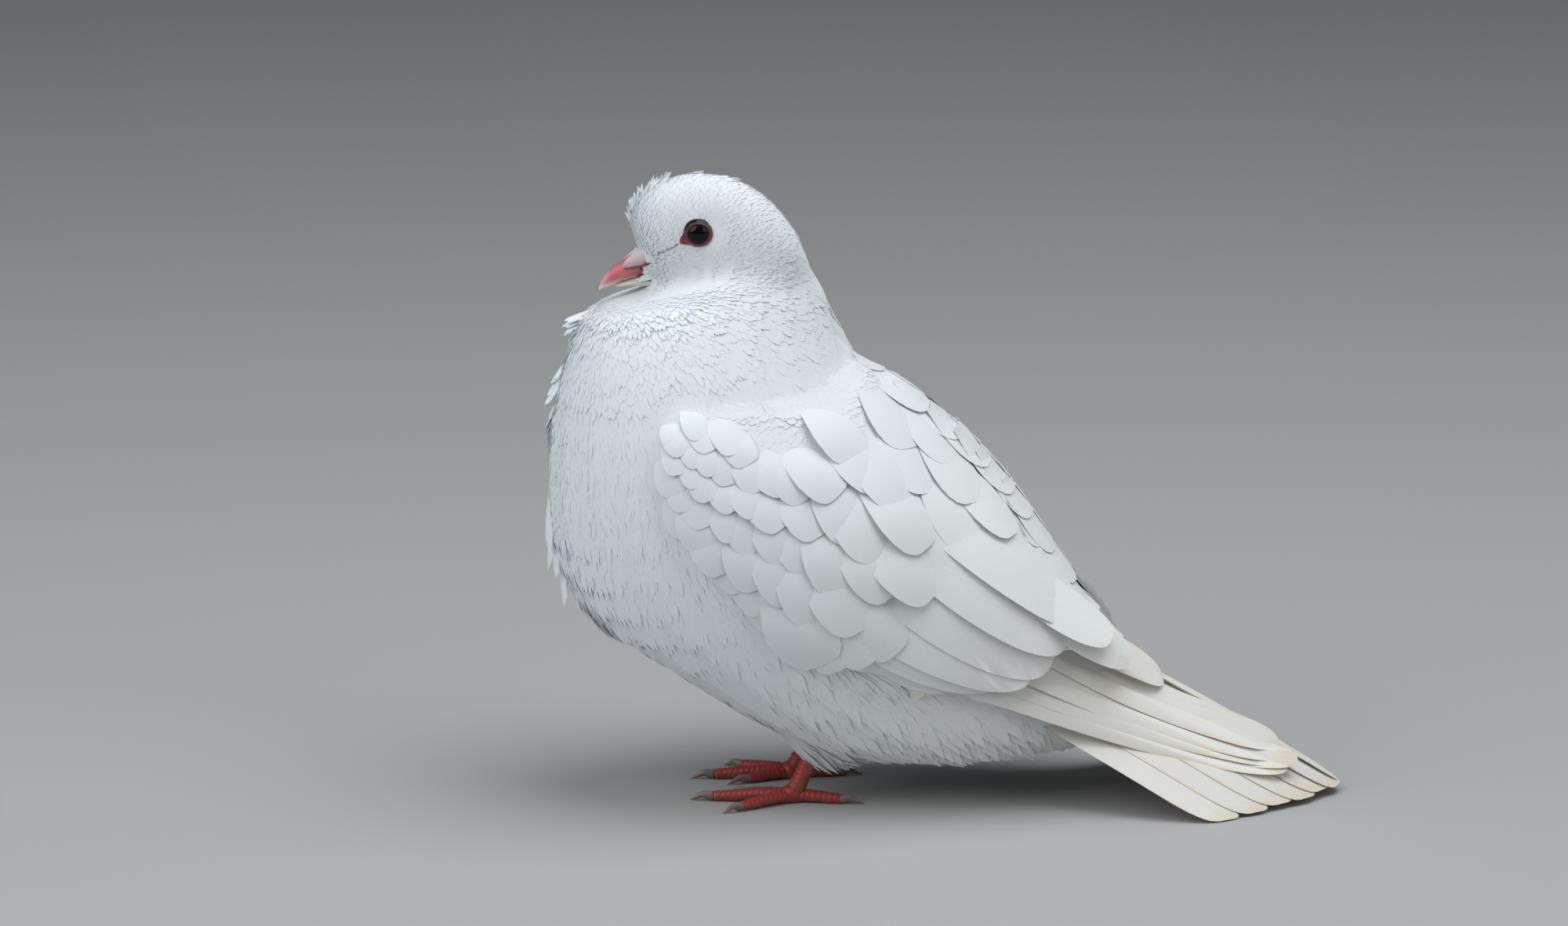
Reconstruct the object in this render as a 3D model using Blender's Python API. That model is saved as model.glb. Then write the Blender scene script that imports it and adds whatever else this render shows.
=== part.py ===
"""A life-size white domestic pigeon, standing with its neck drawn in and its tail fan resting on the floor.

Lengths in the tables are millimetres and become metres when a mesh is made. The bird faces -X, its left side is
-Y, and +Z is up. The tables share one layout frame; the last step moves the whole bird so that the origin is
the middle of its bounding box's bottom.
"""

import math

import bmesh
import bpy
import numpy as np
from mathutils import Matrix, Vector

MM = 0.001
GAP = 0.35  # clear space between neighbouring pieces
FLOOR = -2.0  # height of the floor in the layout frame
MIRROR = Matrix.Scale(-1, 4, (0, 1, 0))

# Driving dimensions
FOOT_SIDE = 15.5  # from the middle plane to the middle of each foot
EYE_RADIUS = 5.2
EYE_CENTRE = (-28.0, -11.1, 183.6)
TAIL_THICKNESS = 2.4
TAIL_THINNING = 0.45  # how much of it is gone at the tips
QUILLS = 12  # tail quills in the fan
BACK_TAPER = 0.16  # how much narrower the trunk is at the back than at the breast

# Trunk and neck: back point x z, front point x z, half width.
# From the top of the neck, hidden in the head, down the breast and back to the rump.
BODY_STATIONS = (
    (4.0, 177.0, -34.0, 165.5, 16.0),
    (11.0, 167.0, -50.5, 160.5, 22.5),
    (15.0, 156.5, -63.5, 155.0, 29.0),
    (20.5, 144.0, -70.0, 140.0, 37.0),
    (31.0, 131.5, -74.5, 121.0, 43.5),
    (45.5, 117.0, -76.0, 99.0, 48.5),
    (62.0, 101.0, -73.5, 76.5, 50.5),
    (74.0, 85.0, -62.0, 57.0, 50.0),
    (83.5, 69.5, -37.0, 38.5, 47.0),
    (92.0, 57.5, -4.0, 18.5, 41.0),
    (101.0, 48.0, 30.0, 9.5, 33.0),
    (110.0, 41.0, 66.0, 11.0, 23.0),
    (118.5, 34.5, 88.0, 17.5, 15.0),
    (126.0, 28.5, 104.0, 22.0, 8.0),
)

BODY_END = (129.0, 0.0, 24.5)

# Head: crown point x z, throat point x z, half width, from the forehead back into the neck.
HEAD_STATIONS = (
    (-49.3, 184.0, -47.6, 176.5, 3.6),
    (-48.6, 188.5, -45.6, 170.5, 7.6),
    (-45.0, 193.4, -43.6, 166.0, 10.6),
    (-38.0, 197.6, -39.5, 162.5, 13.0),
    (-29.0, 199.7, -32.0, 159.5, 14.8),
    (-18.0, 198.6, -22.5, 156.5, 16.4),
    (-7.5, 193.6, -13.0, 154.0, 17.4),
    (2.0, 184.0, -5.0, 152.5, 16.4),
    (7.5, 173.5, 1.5, 153.5, 11.0),
)
HEAD_START = (-49.6, 0.0, 180.4)
HEAD_END = (6.5, 0.0, 162.0)

# Where the flesh is parted: a point of the cut and the way up across it.
THROAT_CUT = ((-20.0, 0.0, 163.0), (-0.16, 0.0, 1.0))
COLLAR_CUT = ((-20.0, 0.0, 134.5), (-0.18, 0.0, 1.0))

# The upper and lower bill: ridge point x z, lower edge point x z, half width.
UPPER_BILL = (
    (-40.0, 177.0, -38.0, 168.0, 4.3),
    (-46.6, 174.4, -44.0, 167.2, 4.0),
    (-51.4, 171.0, -48.6, 165.8, 3.4),
    (-54.6, 169.0, -51.6, 164.5, 2.9),
    (-57.0, 166.4, -54.4, 163.3, 2.3),
    (-58.5, 163.6, -57.2, 162.3, 1.3),
)
UPPER_BILL_TIP = (-59.1, 0.0, 160.8)
LOWER_BILL = (
    (-37.0, 167.4, -38.0, 161.6, 4.0),
    (-44.0, 166.6, -44.2, 162.8, 3.5),
    (-49.0, 165.2, -49.2, 162.9, 2.7),
    (-52.4, 163.9, -52.4, 162.6, 1.6),
)
LOWER_BILL_TIP = (-54.2, 0.0, 162.8)
CERE_LOBE = (-47.4, -2.1, 172.9)
CERE_RADII = (5.2, 2.6, 3.2)
CERE_TILT = math.radians(-42)

# Folded wing, left side: lower edge x y z, upper edge x y z, outward bulge of the outer and inner face.
WING_STATIONS = (
    (-39.5, -45.0, 112.0, -37.0, -42.0, 129.0, 3.5, -3.0),
    (-36.5, -48.0, 98.0, -30.0, -33.5, 139.5, 8.5, -4.0),
    (-26.0, -50.0, 79.5, -15.0, -19.0, 147.5, 16.0, 2.0),
    (-8.0, -50.0, 64.0, 4.0, -8.0, 149.0, 21.5, 8.0),
    (12.0, -48.5, 50.5, 24.0, -4.5, 141.5, 23.0, 10.0),
    (30.0, -46.0, 43.5, 41.5, -3.5, 128.0, 22.0, 10.0),
    (46.0, -42.0, 40.5, 58.0, -3.5, 114.0, 19.0, 9.0),
    (62.0, -39.5, 44.5, 72.5, -3.5, 97.5, 15.0, 7.0),
    (80.0, -35.5, 47.0, 86.5, -3.5, 75.5, 9.5, 4.5),
    (93.0, -26.5, 48.5, 98.5, -5.0, 58.0, 4.6, 1.6),
    (103.0, -18.5, 45.5, 106.5, -7.5, 49.5, 2.4, 0.4),
)
WING_FULLNESS = 0.68  # the lower, the squarer the wing's section
WING_FRONT = (-41.5, -44.0, 120.5)
WING_REAR = (111.0, -12.0, 44.5)

# Closed primaries beyond the wing, left side: lower edge x y z, upper edge x y z, outward bulge, thickness.
PRIMARY_STATIONS = (
    (57.0, -42.5, 40.0, 68.0, -40.0, 55.0, 1.0, 2.6),
    (76.0, -38.5, 31.0, 86.0, -32.5, 55.0, 2.0, 3.0),
    (96.0, -33.0, 23.8, 103.0, -16.5, 49.0, 3.0, 2.8),
    (116.0, -27.5, 18.0, 121.0, -9.5, 36.5, 2.8, 2.6),
    (138.0, -22.5, 13.0, 141.5, -8.5, 24.8, 1.8, 2.2),
    (153.0, -19.0, 10.2, 156.5, -10.0, 16.6, 0.9, 1.8),
    (160.5, -16.8, 9.0, 162.5, -12.0, 12.0, 0.4, 1.4),
)
PRIMARY_TIP = (164.5, -14.0, 9.8)

# Tail fan: the middle quill and the outermost one, root and tip x y z, for the left half.
TAIL_MIDDLE = ((84.0, 0.0, 53.0), (178.0, 0.0, FLOOR - 0.8))
TAIL_OUTER = ((64.0, 16.0, 36.0), (136.5, 44.0, FLOOR - 0.8))
TAIL_BOW = 1.6  # how strongly the fan's corners draw forward
TAIL_ARCH = 2.2  # rise of the quills between root and tip
TAIL_NOTCH = 0.022  # depth of the notches between the quills' round tips, against their length

# Leg: the bare shank's middle line x y z and radius, y and z from the foot's own middle and the floor.
SHANK = ((10.0, -1.0, 20.5, 3.0), (8.3, -0.5, 14.5, 2.7), (5.6, 0.0, 8.0, 2.9), (3.0, 0.0, 3.2, 3.0))
THIGH_CENTRE = (14.0, -16.0, 27.0)
THIGH_RADII = (20.0, 12.5, 14.5)

# Toes: name, heading in degrees from straight ahead (outward is positive), length to the claw, root radius.
TOES = (
    ("outer", 36.0, 20.5, 2.35),
    ("middle", -3.0, 26.0, 2.45),
    ("inner", -26.0, 16.5, 2.25),
    ("hind", 171.0, 16.5, 2.3),
)
TOE_TAPER = 0.26
TOE_ARCH = 0.9  # how high the middle of a toe is lifted
TOE_SQUASH = 0.86  # height of a toe's middle line against its radius, so that the pads press flat on the floor
TOE_ROOT = (2.5, 0.0, 2.6)
PAD_RADII = (3.9, 3.4, 3.3)  # the ball of the foot, where the toes meet
CLAW_LENGTH = 7.0
CLAW_ROOT = 0.86  # the claw's root against the toe's end
CLAW_TAPER = 0.7
CLAW_HOOK = 1.8  # the higher, the later the claw bends down
CLAW_CLEARANCE = 0.15  # height of the claws' undersides over the floor

# Points round each kind of ring, and points along the smooth curves between two stations
BODY_SEGMENTS = 22
HEAD_SEGMENTS = 20
BILL_SEGMENTS = 12
WING_SEGMENTS = 16
BLADE_SEGMENTS = 12
TOE_SEGMENTS = 7
CLAW_SEGMENTS = 6
STEPS = 2
TAIL_ROWS = 5
TAIL_COLUMNS = 3  # columns of faces to each quill
TOE_JOINTS = 5

COLOURS = {
    "plumage": ((0.86, 0.87, 0.86), 0.75),
    "quill": ((0.88, 0.86, 0.80), 0.6),
    "bare_skin": ((0.50, 0.06, 0.05), 0.5),
    "bill": ((0.80, 0.36, 0.34), 0.4),
    "cere": ((0.85, 0.76, 0.74), 0.7),
    "claw": ((0.42, 0.30, 0.24), 0.35),
    "eye": ((0.03, 0.012, 0.01), 0.08),
}


def clear_scene():
    for obj in list(bpy.data.objects):
        bpy.data.objects.remove(obj)


def finish(name):
    """The material of one finish, made once."""
    material = bpy.data.materials.get(name)
    if material is None:
        colour, roughness = COLOURS[name]
        material = bpy.data.materials.new(name)
        material.use_nodes = True
        shader = material.node_tree.nodes["Principled BSDF"]
        shader.inputs["Base Color"].default_value = (*colour, 1.0)
        shader.inputs["Roughness"].default_value = roughness
        shader.inputs["Metallic"].default_value = 0.0
    return material


def add_object(name, mesh, material=None):
    obj = bpy.data.objects.new(name, mesh)
    bpy.context.scene.collection.objects.link(obj)
    if material:
        mesh.materials.clear()
        mesh.materials.append(finish(material))
        mesh.shade_smooth()
        mesh.set_sharp_from_angle(angle=math.radians(40))
    return obj


def rows_on_curve(stations, steps):
    """Rows read from a smooth Catmull-Rom curve through the stations, a given number to each span."""
    knots = np.array(stations, float)
    ends = (2 * knots[0] - knots[1], 2 * knots[-1] - knots[-2])
    padded = np.vstack((ends[0], knots, ends[1]))
    rows = []
    for i in range(len(knots) - 1):
        before, start, end, after = padded[i : i + 4]
        for t in np.arange(steps) / steps:
            line = 2 * start + (end - before) * t
            bend = (2 * before - 5 * start + 4 * end - after) * t**2
            twist = (3 * start - before - 3 * end + after) * t**3
            rows.append((line + bend + twist) / 2)
    rows.append(knots[-1])
    return rows


def closed_mesh(name, bm):
    """The finished mesh: in flat triangles, which cut cleanly, with every face turned outwards."""
    bmesh.ops.triangulate(bm, faces=bm.faces)
    bmesh.ops.recalc_face_normals(bm, faces=bm.faces)
    mesh = bpy.data.meshes.new(name)
    bm.to_mesh(mesh)
    bm.free()
    return mesh


def loft(name, rings, start=None, end=None):
    """A closed mesh through rings of as many points each. start and end are poles; without one a flat cap closes."""
    bm = bmesh.new()
    loops = [[bm.verts.new(Vector(p) * MM) for p in ring] for ring in rings]
    count = len(loops[0])
    for low, high in zip(loops, loops[1:]):
        for i in range(count):
            j = (i + 1) % count
            bm.faces.new((low[i], low[j], high[j], high[i]))
    for loop, pole in ((loops[0], start), (loops[-1], end)):
        if pole is None:
            bm.faces.new(loop)
            continue
        tip = bm.verts.new(Vector(pole) * MM)
        for i in range(count):
            bm.faces.new((loop[i], loop[(i + 1) % count], tip))
    return closed_mesh(name, bm)


def slab(name, upper, lower):
    """A closed mesh between two grids of points that lie one over the other."""
    bm = bmesh.new()
    sheets = [[[bm.verts.new(p * MM) for p in row] for row in grid] for grid in (upper, lower)]
    rows, columns = len(upper), len(upper[0])
    for sheet in sheets:
        for k in range(rows - 1):
            for i in range(columns - 1):
                bm.faces.new((sheet[k][i], sheet[k][i + 1], sheet[k + 1][i + 1], sheet[k + 1][i]))
    rim = [(0, i) for i in range(columns)] + [(k, columns - 1) for k in range(1, rows)]
    rim += [(rows - 1, i) for i in range(columns - 2, -1, -1)] + [(k, 0) for k in range(rows - 2, 0, -1)]
    top, bottom = sheets
    for (k, i), (m, j) in zip(rim, rim[1:] + rim[:1]):
        bm.faces.new((top[k][i], top[m][j], bottom[m][j], bottom[k][i]))
    return closed_mesh(name, bm)


def oval_ring(row, segments, fullness=0.92, taper=0.0):
    """A ring in the plane that holds the row's two points and the Y axis.

    It is fuller than an ellipse where fullness is under 1, and taper narrows it towards the first point.
    """
    top_x, top_z, low_x, low_z, half_width = row
    top, low = Vector((top_x, 0, top_z)), Vector((low_x, 0, low_z))
    ring = []
    for i in range(segments):
        angle = math.tau * (i + 0.5) / segments
        across, along = math.sin(angle), math.cos(angle)
        side = math.copysign(abs(across) ** fullness, across) * (1 - taper * along)
        share = (1 - math.copysign(abs(along) ** fullness, along)) / 2
        ring.append(top.lerp(low, share) + Vector((0, half_width * side, 0)))
    return ring


def leaf_ring(row, segments):
    """A lens-shaped ring between the row's lower and upper edge points, bulging outward."""
    low, high = Vector(row[0:3]), Vector(row[3:6])
    outer, inner = row[6], row[7]
    chord = (high - low).normalized()
    outward = Vector((0, -1, 0))
    outward = (outward - chord * outward.dot(chord)).normalized()
    half = segments // 2
    ring = []
    for i in range(half + 1):
        share = (1 - math.cos(math.pi * i / half)) / 2
        ring.append(low.lerp(high, share) + outward * outer * math.sin(math.pi * share) ** WING_FULLNESS)
    for i in range(half - 1, 0, -1):
        share = (1 - math.cos(math.pi * i / half)) / 2
        ring.append(low.lerp(high, share) + outward * inner * math.sin(math.pi * share) ** WING_FULLNESS)
    return ring


def solid_mesh(obj):
    """The object's mesh with its modifiers worked in."""
    bpy.context.view_layer.update()
    graph = bpy.context.evaluated_depsgraph_get()
    return bpy.data.meshes.new_from_object(obj.evaluated_get(graph))


def helper(name, mesh):
    """A cutter or a tool body, left out of the model."""
    obj = add_object(name, mesh)
    obj.hide_render = True
    obj.display_type = "WIRE"
    return obj


def boolean(obj, other, operation):
    modifier = obj.modifiers.new(f"{operation.lower()}_{other.name}", "BOOLEAN")
    modifier.operation = operation
    modifier.solver = "EXACT"
    modifier.object = other
    return obj


def grown(mesh):
    """A cutter in the shape of a closed mesh, larger all round by the gap."""
    bm = bmesh.new()
    bm.from_mesh(mesh)
    bm.normal_update()
    moves = [vert.normal * GAP * MM for vert in bm.verts]
    for vert, move in zip(bm.verts, moves):
        vert.co += move
    room = bpy.data.meshes.new(f"room_for_{mesh.name}")
    bm.to_mesh(room)
    bm.free()
    return helper(room.name, room)


def united(name, meshes):
    """One mesh, the union of overlapping closed meshes."""
    base = helper(f"{name}_base", meshes[0])
    others = [helper(f"{name}_add_{i}", mesh) for i, mesh in enumerate(meshes[1:])]
    for other in others:
        boolean(base, other, "UNION")
    mesh = solid_mesh(base)
    mesh.name = name
    for obj in (base, *others):
        bpy.data.objects.remove(obj)
    return mesh


def cut_away(mesh, point, normal):
    """The mesh on the near side of a plane, with the cut closed flat."""
    bm = bmesh.new()
    bm.from_mesh(mesh)
    everything = [*bm.verts, *bm.edges, *bm.faces]
    cut = bmesh.ops.bisect_plane(
        bm, geom=everything, plane_co=Vector(point) * MM, plane_no=normal, clear_outer=True
    )
    rim = [item for item in cut["geom_cut"] if isinstance(item, bmesh.types.BMEdge)]
    bmesh.ops.edgeloop_fill(bm, edges=rim)
    return closed_mesh(mesh.name, bm)


def mirrored(mesh):
    """The mesh for the right side, its faces turned back to point outwards."""
    twin = mesh.copy()
    twin.transform(MIRROR)
    twin.flip_normals()
    return twin


def ellipsoid(name, centre, radii, segments, turn=0.0):
    bm = bmesh.new()
    bmesh.ops.create_uvsphere(bm, u_segments=segments, v_segments=segments * 2 // 3, radius=1.0)
    place = Matrix.Translation(Vector(centre) * MM) @ Matrix.Rotation(turn, 4, "Y")
    bm.transform(place @ Matrix.Diagonal((*(r * MM for r in radii), 1.0)))
    return closed_mesh(name, bm)


def horn(name, spine, segments=TOE_SEGMENTS, tip=None):
    """A round tapering limb through x y z radius rows, its rings square to the way it runs."""
    points = [Vector(row[:3]) for row in spine]
    rings = []
    for i, row in enumerate(spine):
        ahead = points[min(i + 1, len(points) - 1)] - points[max(i - 1, 0)]
        side = ahead.cross(Vector((0, 0, 1)))
        if side.length < 1e-3:
            side = Vector((0, 1, 0))
        side.normalize()
        up = side.cross(ahead).normalized()
        ring = []
        for k in range(segments):
            angle = math.tau * k / segments
            ring.append(points[i] + (side * math.cos(angle) + up * math.sin(angle)) * row[3])
        rings.append(ring)
    return loft(name, rings, end=tip)


def make_flesh():
    """Head, neck and trunk: modelled whole, then parted with thin cuts."""
    body_rows = rows_on_curve(BODY_STATIONS, STEPS)
    head_rows = rows_on_curve(HEAD_STATIONS, STEPS)
    body_rings = [oval_ring(row, BODY_SEGMENTS, taper=BACK_TAPER) for row in body_rows]
    head_rings = [oval_ring(row, HEAD_SEGMENTS) for row in head_rows]
    body = loft("body", body_rings, end=BODY_END)
    head = loft("head", head_rings, start=HEAD_START, end=HEAD_END)
    whole = united("flesh", (body, head))
    room_for_flesh = grown(whole)
    throat, throat_up = Vector(THROAT_CUT[0]), Vector(THROAT_CUT[1]).normalized()
    collar, collar_up = Vector(COLLAR_CUT[0]), Vector(COLLAR_CUT[1]).normalized()
    above_throat = cut_away(whole, throat + throat_up * GAP / 2, -throat_up)
    below_throat = cut_away(whole, throat - throat_up * GAP / 2, throat_up)
    pieces = {
        "head": above_throat,
        "neck": cut_away(below_throat, collar + collar_up * GAP / 2, -collar_up),
        "trunk": cut_away(whole, collar - collar_up * GAP / 2, collar_up),
    }
    for name, mesh in pieces.items():
        add_object(name, mesh, "plumage")
    return bpy.data.objects["head"], room_for_flesh


def make_eyes(head):
    """Two round eyes, each in a socket of its own."""
    left = ellipsoid("eye", EYE_CENTRE, (EYE_RADIUS,) * 3, 14)
    for side, mesh in (("left", left), ("right", mirrored(left))):
        add_object(f"eye_{side}", mesh, "eye")
        boolean(head, grown(mesh), "DIFFERENCE")


def make_bill(room_for_flesh):
    """The horny upper and lower bill and the swollen cere over the nostrils."""
    upper_rings = [oval_ring(row, BILL_SEGMENTS) for row in rows_on_curve(UPPER_BILL, STEPS)]
    lower_rings = [oval_ring(row, BILL_SEGMENTS) for row in rows_on_curve(LOWER_BILL, STEPS)]
    upper_mesh = loft("bill_upper", upper_rings, end=UPPER_BILL_TIP)
    lobe = ellipsoid("cere", CERE_LOBE, CERE_RADII, BILL_SEGMENTS, CERE_TILT)
    room_for_upper = grown(upper_mesh)
    upper = add_object("bill_upper", upper_mesh, "bill")
    lower = add_object("bill_lower", loft("bill_lower", lower_rings, end=LOWER_BILL_TIP), "bill")
    cere = add_object("cere", united("cere", (lobe, mirrored(lobe))), "cere")
    for piece in (upper, lower, cere):
        boolean(piece, room_for_flesh, "DIFFERENCE")
    for piece in (lower, cere):
        boolean(piece, room_for_upper, "DIFFERENCE")


def make_wings(room_for_flesh):
    """Each folded wing lies on the trunk as one shell, with its closed primaries as a blade behind it."""
    wing_rings = [leaf_ring(row, WING_SEGMENTS) for row in rows_on_curve(WING_STATIONS, STEPS)]
    wing_mesh = loft("wing", wing_rings, start=WING_FRONT, end=WING_REAR)
    blade_rows = [(*row[:7], row[6] - row[7]) for row in PRIMARY_STATIONS]
    blade_rings = [leaf_ring(row, BLADE_SEGMENTS) for row in blade_rows]
    blade_mesh = loft("primaries", blade_rings, end=PRIMARY_TIP)
    rooms_for_blades = []
    for side, turned in (("left", lambda mesh: mesh.copy()), ("right", mirrored)):
        wing = add_object(f"wing_{side}", turned(wing_mesh), "plumage")
        blade = add_object(f"primaries_{side}", turned(blade_mesh), "quill")
        for piece in (wing, blade):
            boolean(piece, room_for_flesh, "DIFFERENCE")
        boolean(blade, grown(turned(wing_mesh)), "DIFFERENCE")
        rooms_for_blades.append(grown(turned(blade_mesh)))
    return rooms_for_blades


def tail_point(across, along):
    """A point of the fan. across runs from -1 to 1 over the quills, along from 0 at the root to 1 at the tip."""
    spread = abs(across) ** TAIL_BOW
    ends = []
    for middle, outer in zip(TAIL_MIDDLE, TAIL_OUTER):
        x = middle[0] + (outer[0] - middle[0]) * spread
        z = middle[2] + (outer[2] - middle[2]) * spread
        ends.append(Vector((x, outer[1] * across, z)))
    point = ends[0].lerp(ends[1], along)
    point.z += TAIL_ARCH * math.sin(math.pi * along)
    return point


def make_tail(room_for_flesh, rooms_for_blades):
    """The tail quills as one bowed fan that rests on the floor along its tips."""
    columns = TAIL_COLUMNS * QUILLS
    upper, lower = [], []
    for k in range(TAIL_ROWS + 1):
        upper.append([])
        lower.append([])
        for i in range(columns + 1):
            notch = TAIL_NOTCH * (1 - abs(math.sin(math.pi * QUILLS * i / columns)))
            along = (k / TAIL_ROWS) * (1 - notch)
            point = tail_point(2 * i / columns - 1, along)
            point.z = max(point.z, FLOOR)
            rise = Vector((0, 0, TAIL_THICKNESS * (1 - TAIL_THINNING * along)))
            upper[-1].append(point + rise)
            lower[-1].append(point)
    tail = add_object("tail", slab("tail", upper, lower), "quill")
    boolean(tail, room_for_flesh, "DIFFERENCE")
    for room in rooms_for_blades:
        boolean(tail, room, "DIFFERENCE")


def toe_spine(heading, length, radius):
    """A tapering toe that arches a little and comes down on its pads."""
    turn = math.radians(180 - heading)
    ahead = Vector((math.cos(turn), -math.sin(turn), 0))
    spine = []
    for share in np.linspace(0, 1, TOE_JOINTS + 1):
        size = radius * (1 - TOE_TAPER * share)
        arch = TOE_ARCH * math.sin(math.pi * share) * (1 - share)
        point = Vector(TOE_ROOT) + ahead * length * share
        point.z = size * TOE_SQUASH + arch
        spine.append((*point, size))
    return spine, ahead


def claw_mesh(toe_end, ahead):
    """A claw that curves from just beyond the toe's flat end down to the floor."""
    start = Vector(toe_end[:3]) + ahead * GAP
    spine = []
    for share in np.linspace(0, 0.85, CLAW_SEGMENTS - 1):
        radius = CLAW_ROOT * toe_end[3] * (1 - share) ** CLAW_TAPER
        point = start + ahead * CLAW_LENGTH * share
        point.z = max(start.z * (1 - share**CLAW_HOOK), radius + CLAW_CLEARANCE)
        spine.append((*point, radius))
    tip = start + ahead * CLAW_LENGTH
    tip.z = CLAW_CLEARANCE
    return horn("claw", spine, CLAW_SEGMENTS, tip)


def floor_cut(obj):
    """Flattens what reaches the floor into small flats at one level."""
    box = bpy.data.objects.get("below_floor")
    if box is None:
        bm = bmesh.new()
        bmesh.ops.create_cube(bm, size=1.0, matrix=Matrix.Translation((0, 0, FLOOR * MM - 0.5)))
        mesh = bpy.data.meshes.new("below_floor")
        bm.to_mesh(mesh)
        bm.free()
        box = helper("below_floor", mesh)
    boolean(obj, box, "DIFFERENCE")


def make_legs(room_for_flesh):
    """Feathered shanks, the bare feet below them, and four claws to each foot."""
    thigh_mesh = ellipsoid("thigh", THIGH_CENTRE, THIGH_RADII, HEAD_SEGMENTS)
    toe_parts = [horn("shank", SHANK), ellipsoid("pad", TOE_ROOT, PAD_RADII, BILL_SEGMENTS)]
    claws = []
    for name, heading, length, radius in TOES:
        spine, ahead = toe_spine(heading, length, radius)
        toe_parts.append(horn(name, spine))
        claws.append((name, claw_mesh(spine[-1], ahead)))
    foot_mesh = united("foot", toe_parts)
    to_side = Matrix.Translation(Vector((0, -FOOT_SIDE, FLOOR)) * MM)
    for mesh in (foot_mesh, *(mesh for _, mesh in claws)):
        mesh.transform(to_side)
    for side, turned in (("left", lambda mesh: mesh.copy()), ("right", mirrored)):
        leg = add_object(f"leg_{side}", turned(thigh_mesh), "plumage")
        boolean(leg, room_for_flesh, "DIFFERENCE")
        foot = add_object(f"foot_{side}", turned(foot_mesh), "bare_skin")
        floor_cut(foot)
        boolean(foot, grown(turned(thigh_mesh)), "DIFFERENCE")
        boolean(foot, room_for_flesh, "DIFFERENCE")
        for name, mesh in claws:
            add_object(f"claw_{side}_{name}", turned(mesh), "claw")


def stand_at_origin():
    """Hangs every piece on one empty and moves it so that the bounding box stands centred on the origin."""
    corners = []
    for obj in [obj for obj in bpy.data.objects if not obj.hide_render]:
        mesh = solid_mesh(obj)
        corners += [vert.co.copy() for vert in mesh.vertices]
        bpy.data.meshes.remove(mesh)
    low, high = np.min(corners, axis=0), np.max(corners, axis=0)
    carrier = bpy.data.objects.new("bird", None)
    bpy.context.scene.collection.objects.link(carrier)
    for obj in bpy.data.objects:
        if obj != carrier:
            obj.parent = carrier
    carrier.location = (-(low[0] + high[0]) / 2, 0, -low[2])


def main():
    clear_scene()
    head, room_for_flesh = make_flesh()
    make_eyes(head)
    make_bill(room_for_flesh)
    rooms_for_blades = make_wings(room_for_flesh)
    make_tail(room_for_flesh, rooms_for_blades)
    make_legs(room_for_flesh)
    stand_at_origin()


main()
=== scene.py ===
# %% [markdown]
# # A white pigeon, life size
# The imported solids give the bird's build: head, neck, trunk, wings, tail and feet at their real places. This
# script dresses them. One skin is laid under the solids of flesh, thousands of small feathers grow from it,
# larger feathers are laid on the wings and the tail one by one, and the bill, the eyes and the feet are
# modelled afresh. Every feather of the bird, from the face to the tail, comes from one recipe.

# %% Load the frame
import math

import bmesh
import bpy
import numpy as np
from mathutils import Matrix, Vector
from mathutils.bvhtree import BVHTree


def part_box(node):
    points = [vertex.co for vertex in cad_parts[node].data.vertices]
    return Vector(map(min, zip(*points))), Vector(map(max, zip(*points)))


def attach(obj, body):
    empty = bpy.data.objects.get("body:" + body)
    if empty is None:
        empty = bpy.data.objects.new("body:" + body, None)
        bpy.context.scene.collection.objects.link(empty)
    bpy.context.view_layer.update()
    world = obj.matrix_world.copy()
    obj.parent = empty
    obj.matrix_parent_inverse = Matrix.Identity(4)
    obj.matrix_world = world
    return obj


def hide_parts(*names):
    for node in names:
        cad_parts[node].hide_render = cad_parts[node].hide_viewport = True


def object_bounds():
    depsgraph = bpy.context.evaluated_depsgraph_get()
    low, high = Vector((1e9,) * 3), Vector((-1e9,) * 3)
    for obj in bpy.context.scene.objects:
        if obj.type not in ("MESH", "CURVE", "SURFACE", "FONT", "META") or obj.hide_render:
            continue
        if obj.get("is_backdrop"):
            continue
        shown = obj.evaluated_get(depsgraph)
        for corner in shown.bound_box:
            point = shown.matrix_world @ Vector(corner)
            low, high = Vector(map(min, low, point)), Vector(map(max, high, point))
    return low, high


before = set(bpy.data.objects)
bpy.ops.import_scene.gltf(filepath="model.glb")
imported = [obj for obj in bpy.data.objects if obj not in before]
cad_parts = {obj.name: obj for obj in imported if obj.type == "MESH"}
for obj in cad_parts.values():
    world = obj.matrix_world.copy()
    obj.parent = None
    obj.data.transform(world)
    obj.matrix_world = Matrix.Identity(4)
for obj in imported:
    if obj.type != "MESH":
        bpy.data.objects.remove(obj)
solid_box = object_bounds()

MM = 0.001
BODY = "root"
print(len(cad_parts), "solids, box", [round(float(v), 4) for v in (*solid_box[0], *solid_box[1])])

# %% [markdown]
# The bird was drawn in millimetres, with its breast towards -X, its left side towards -Y and the floor a
# little under zero. A drawing's point is turned into a place in the frame by hanging it on the bill's tip, so
# the two can't drift apart. Arrays of points come back to the drawing the same way.

# %% The drawing and the frame
BILL_TIP_X = -59.1
FLOOR = -2.0
ORIGIN = np.array((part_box("bill_upper")[0][0] - BILL_TIP_X * MM, 0.0, -FLOOR * MM))


def place(*point):
    """A point of the drawing, in millimetres, as a point of the frame, in metres."""
    return Vector(point) * MM + Vector(ORIGIN)


def drawn(points):
    """Points of the frame as points of the drawing."""
    return (np.asarray(points) - ORIGIN) / MM


def smooth(value, low, high):
    """0 under low, 1 over high, and a soft ramp between."""
    share = np.clip((value - low) / (high - low), 0.0, 1.0)
    return share * share * (3 - 2 * share)


print("The drawing's zero stands at", ORIGIN.round(4))

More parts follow.
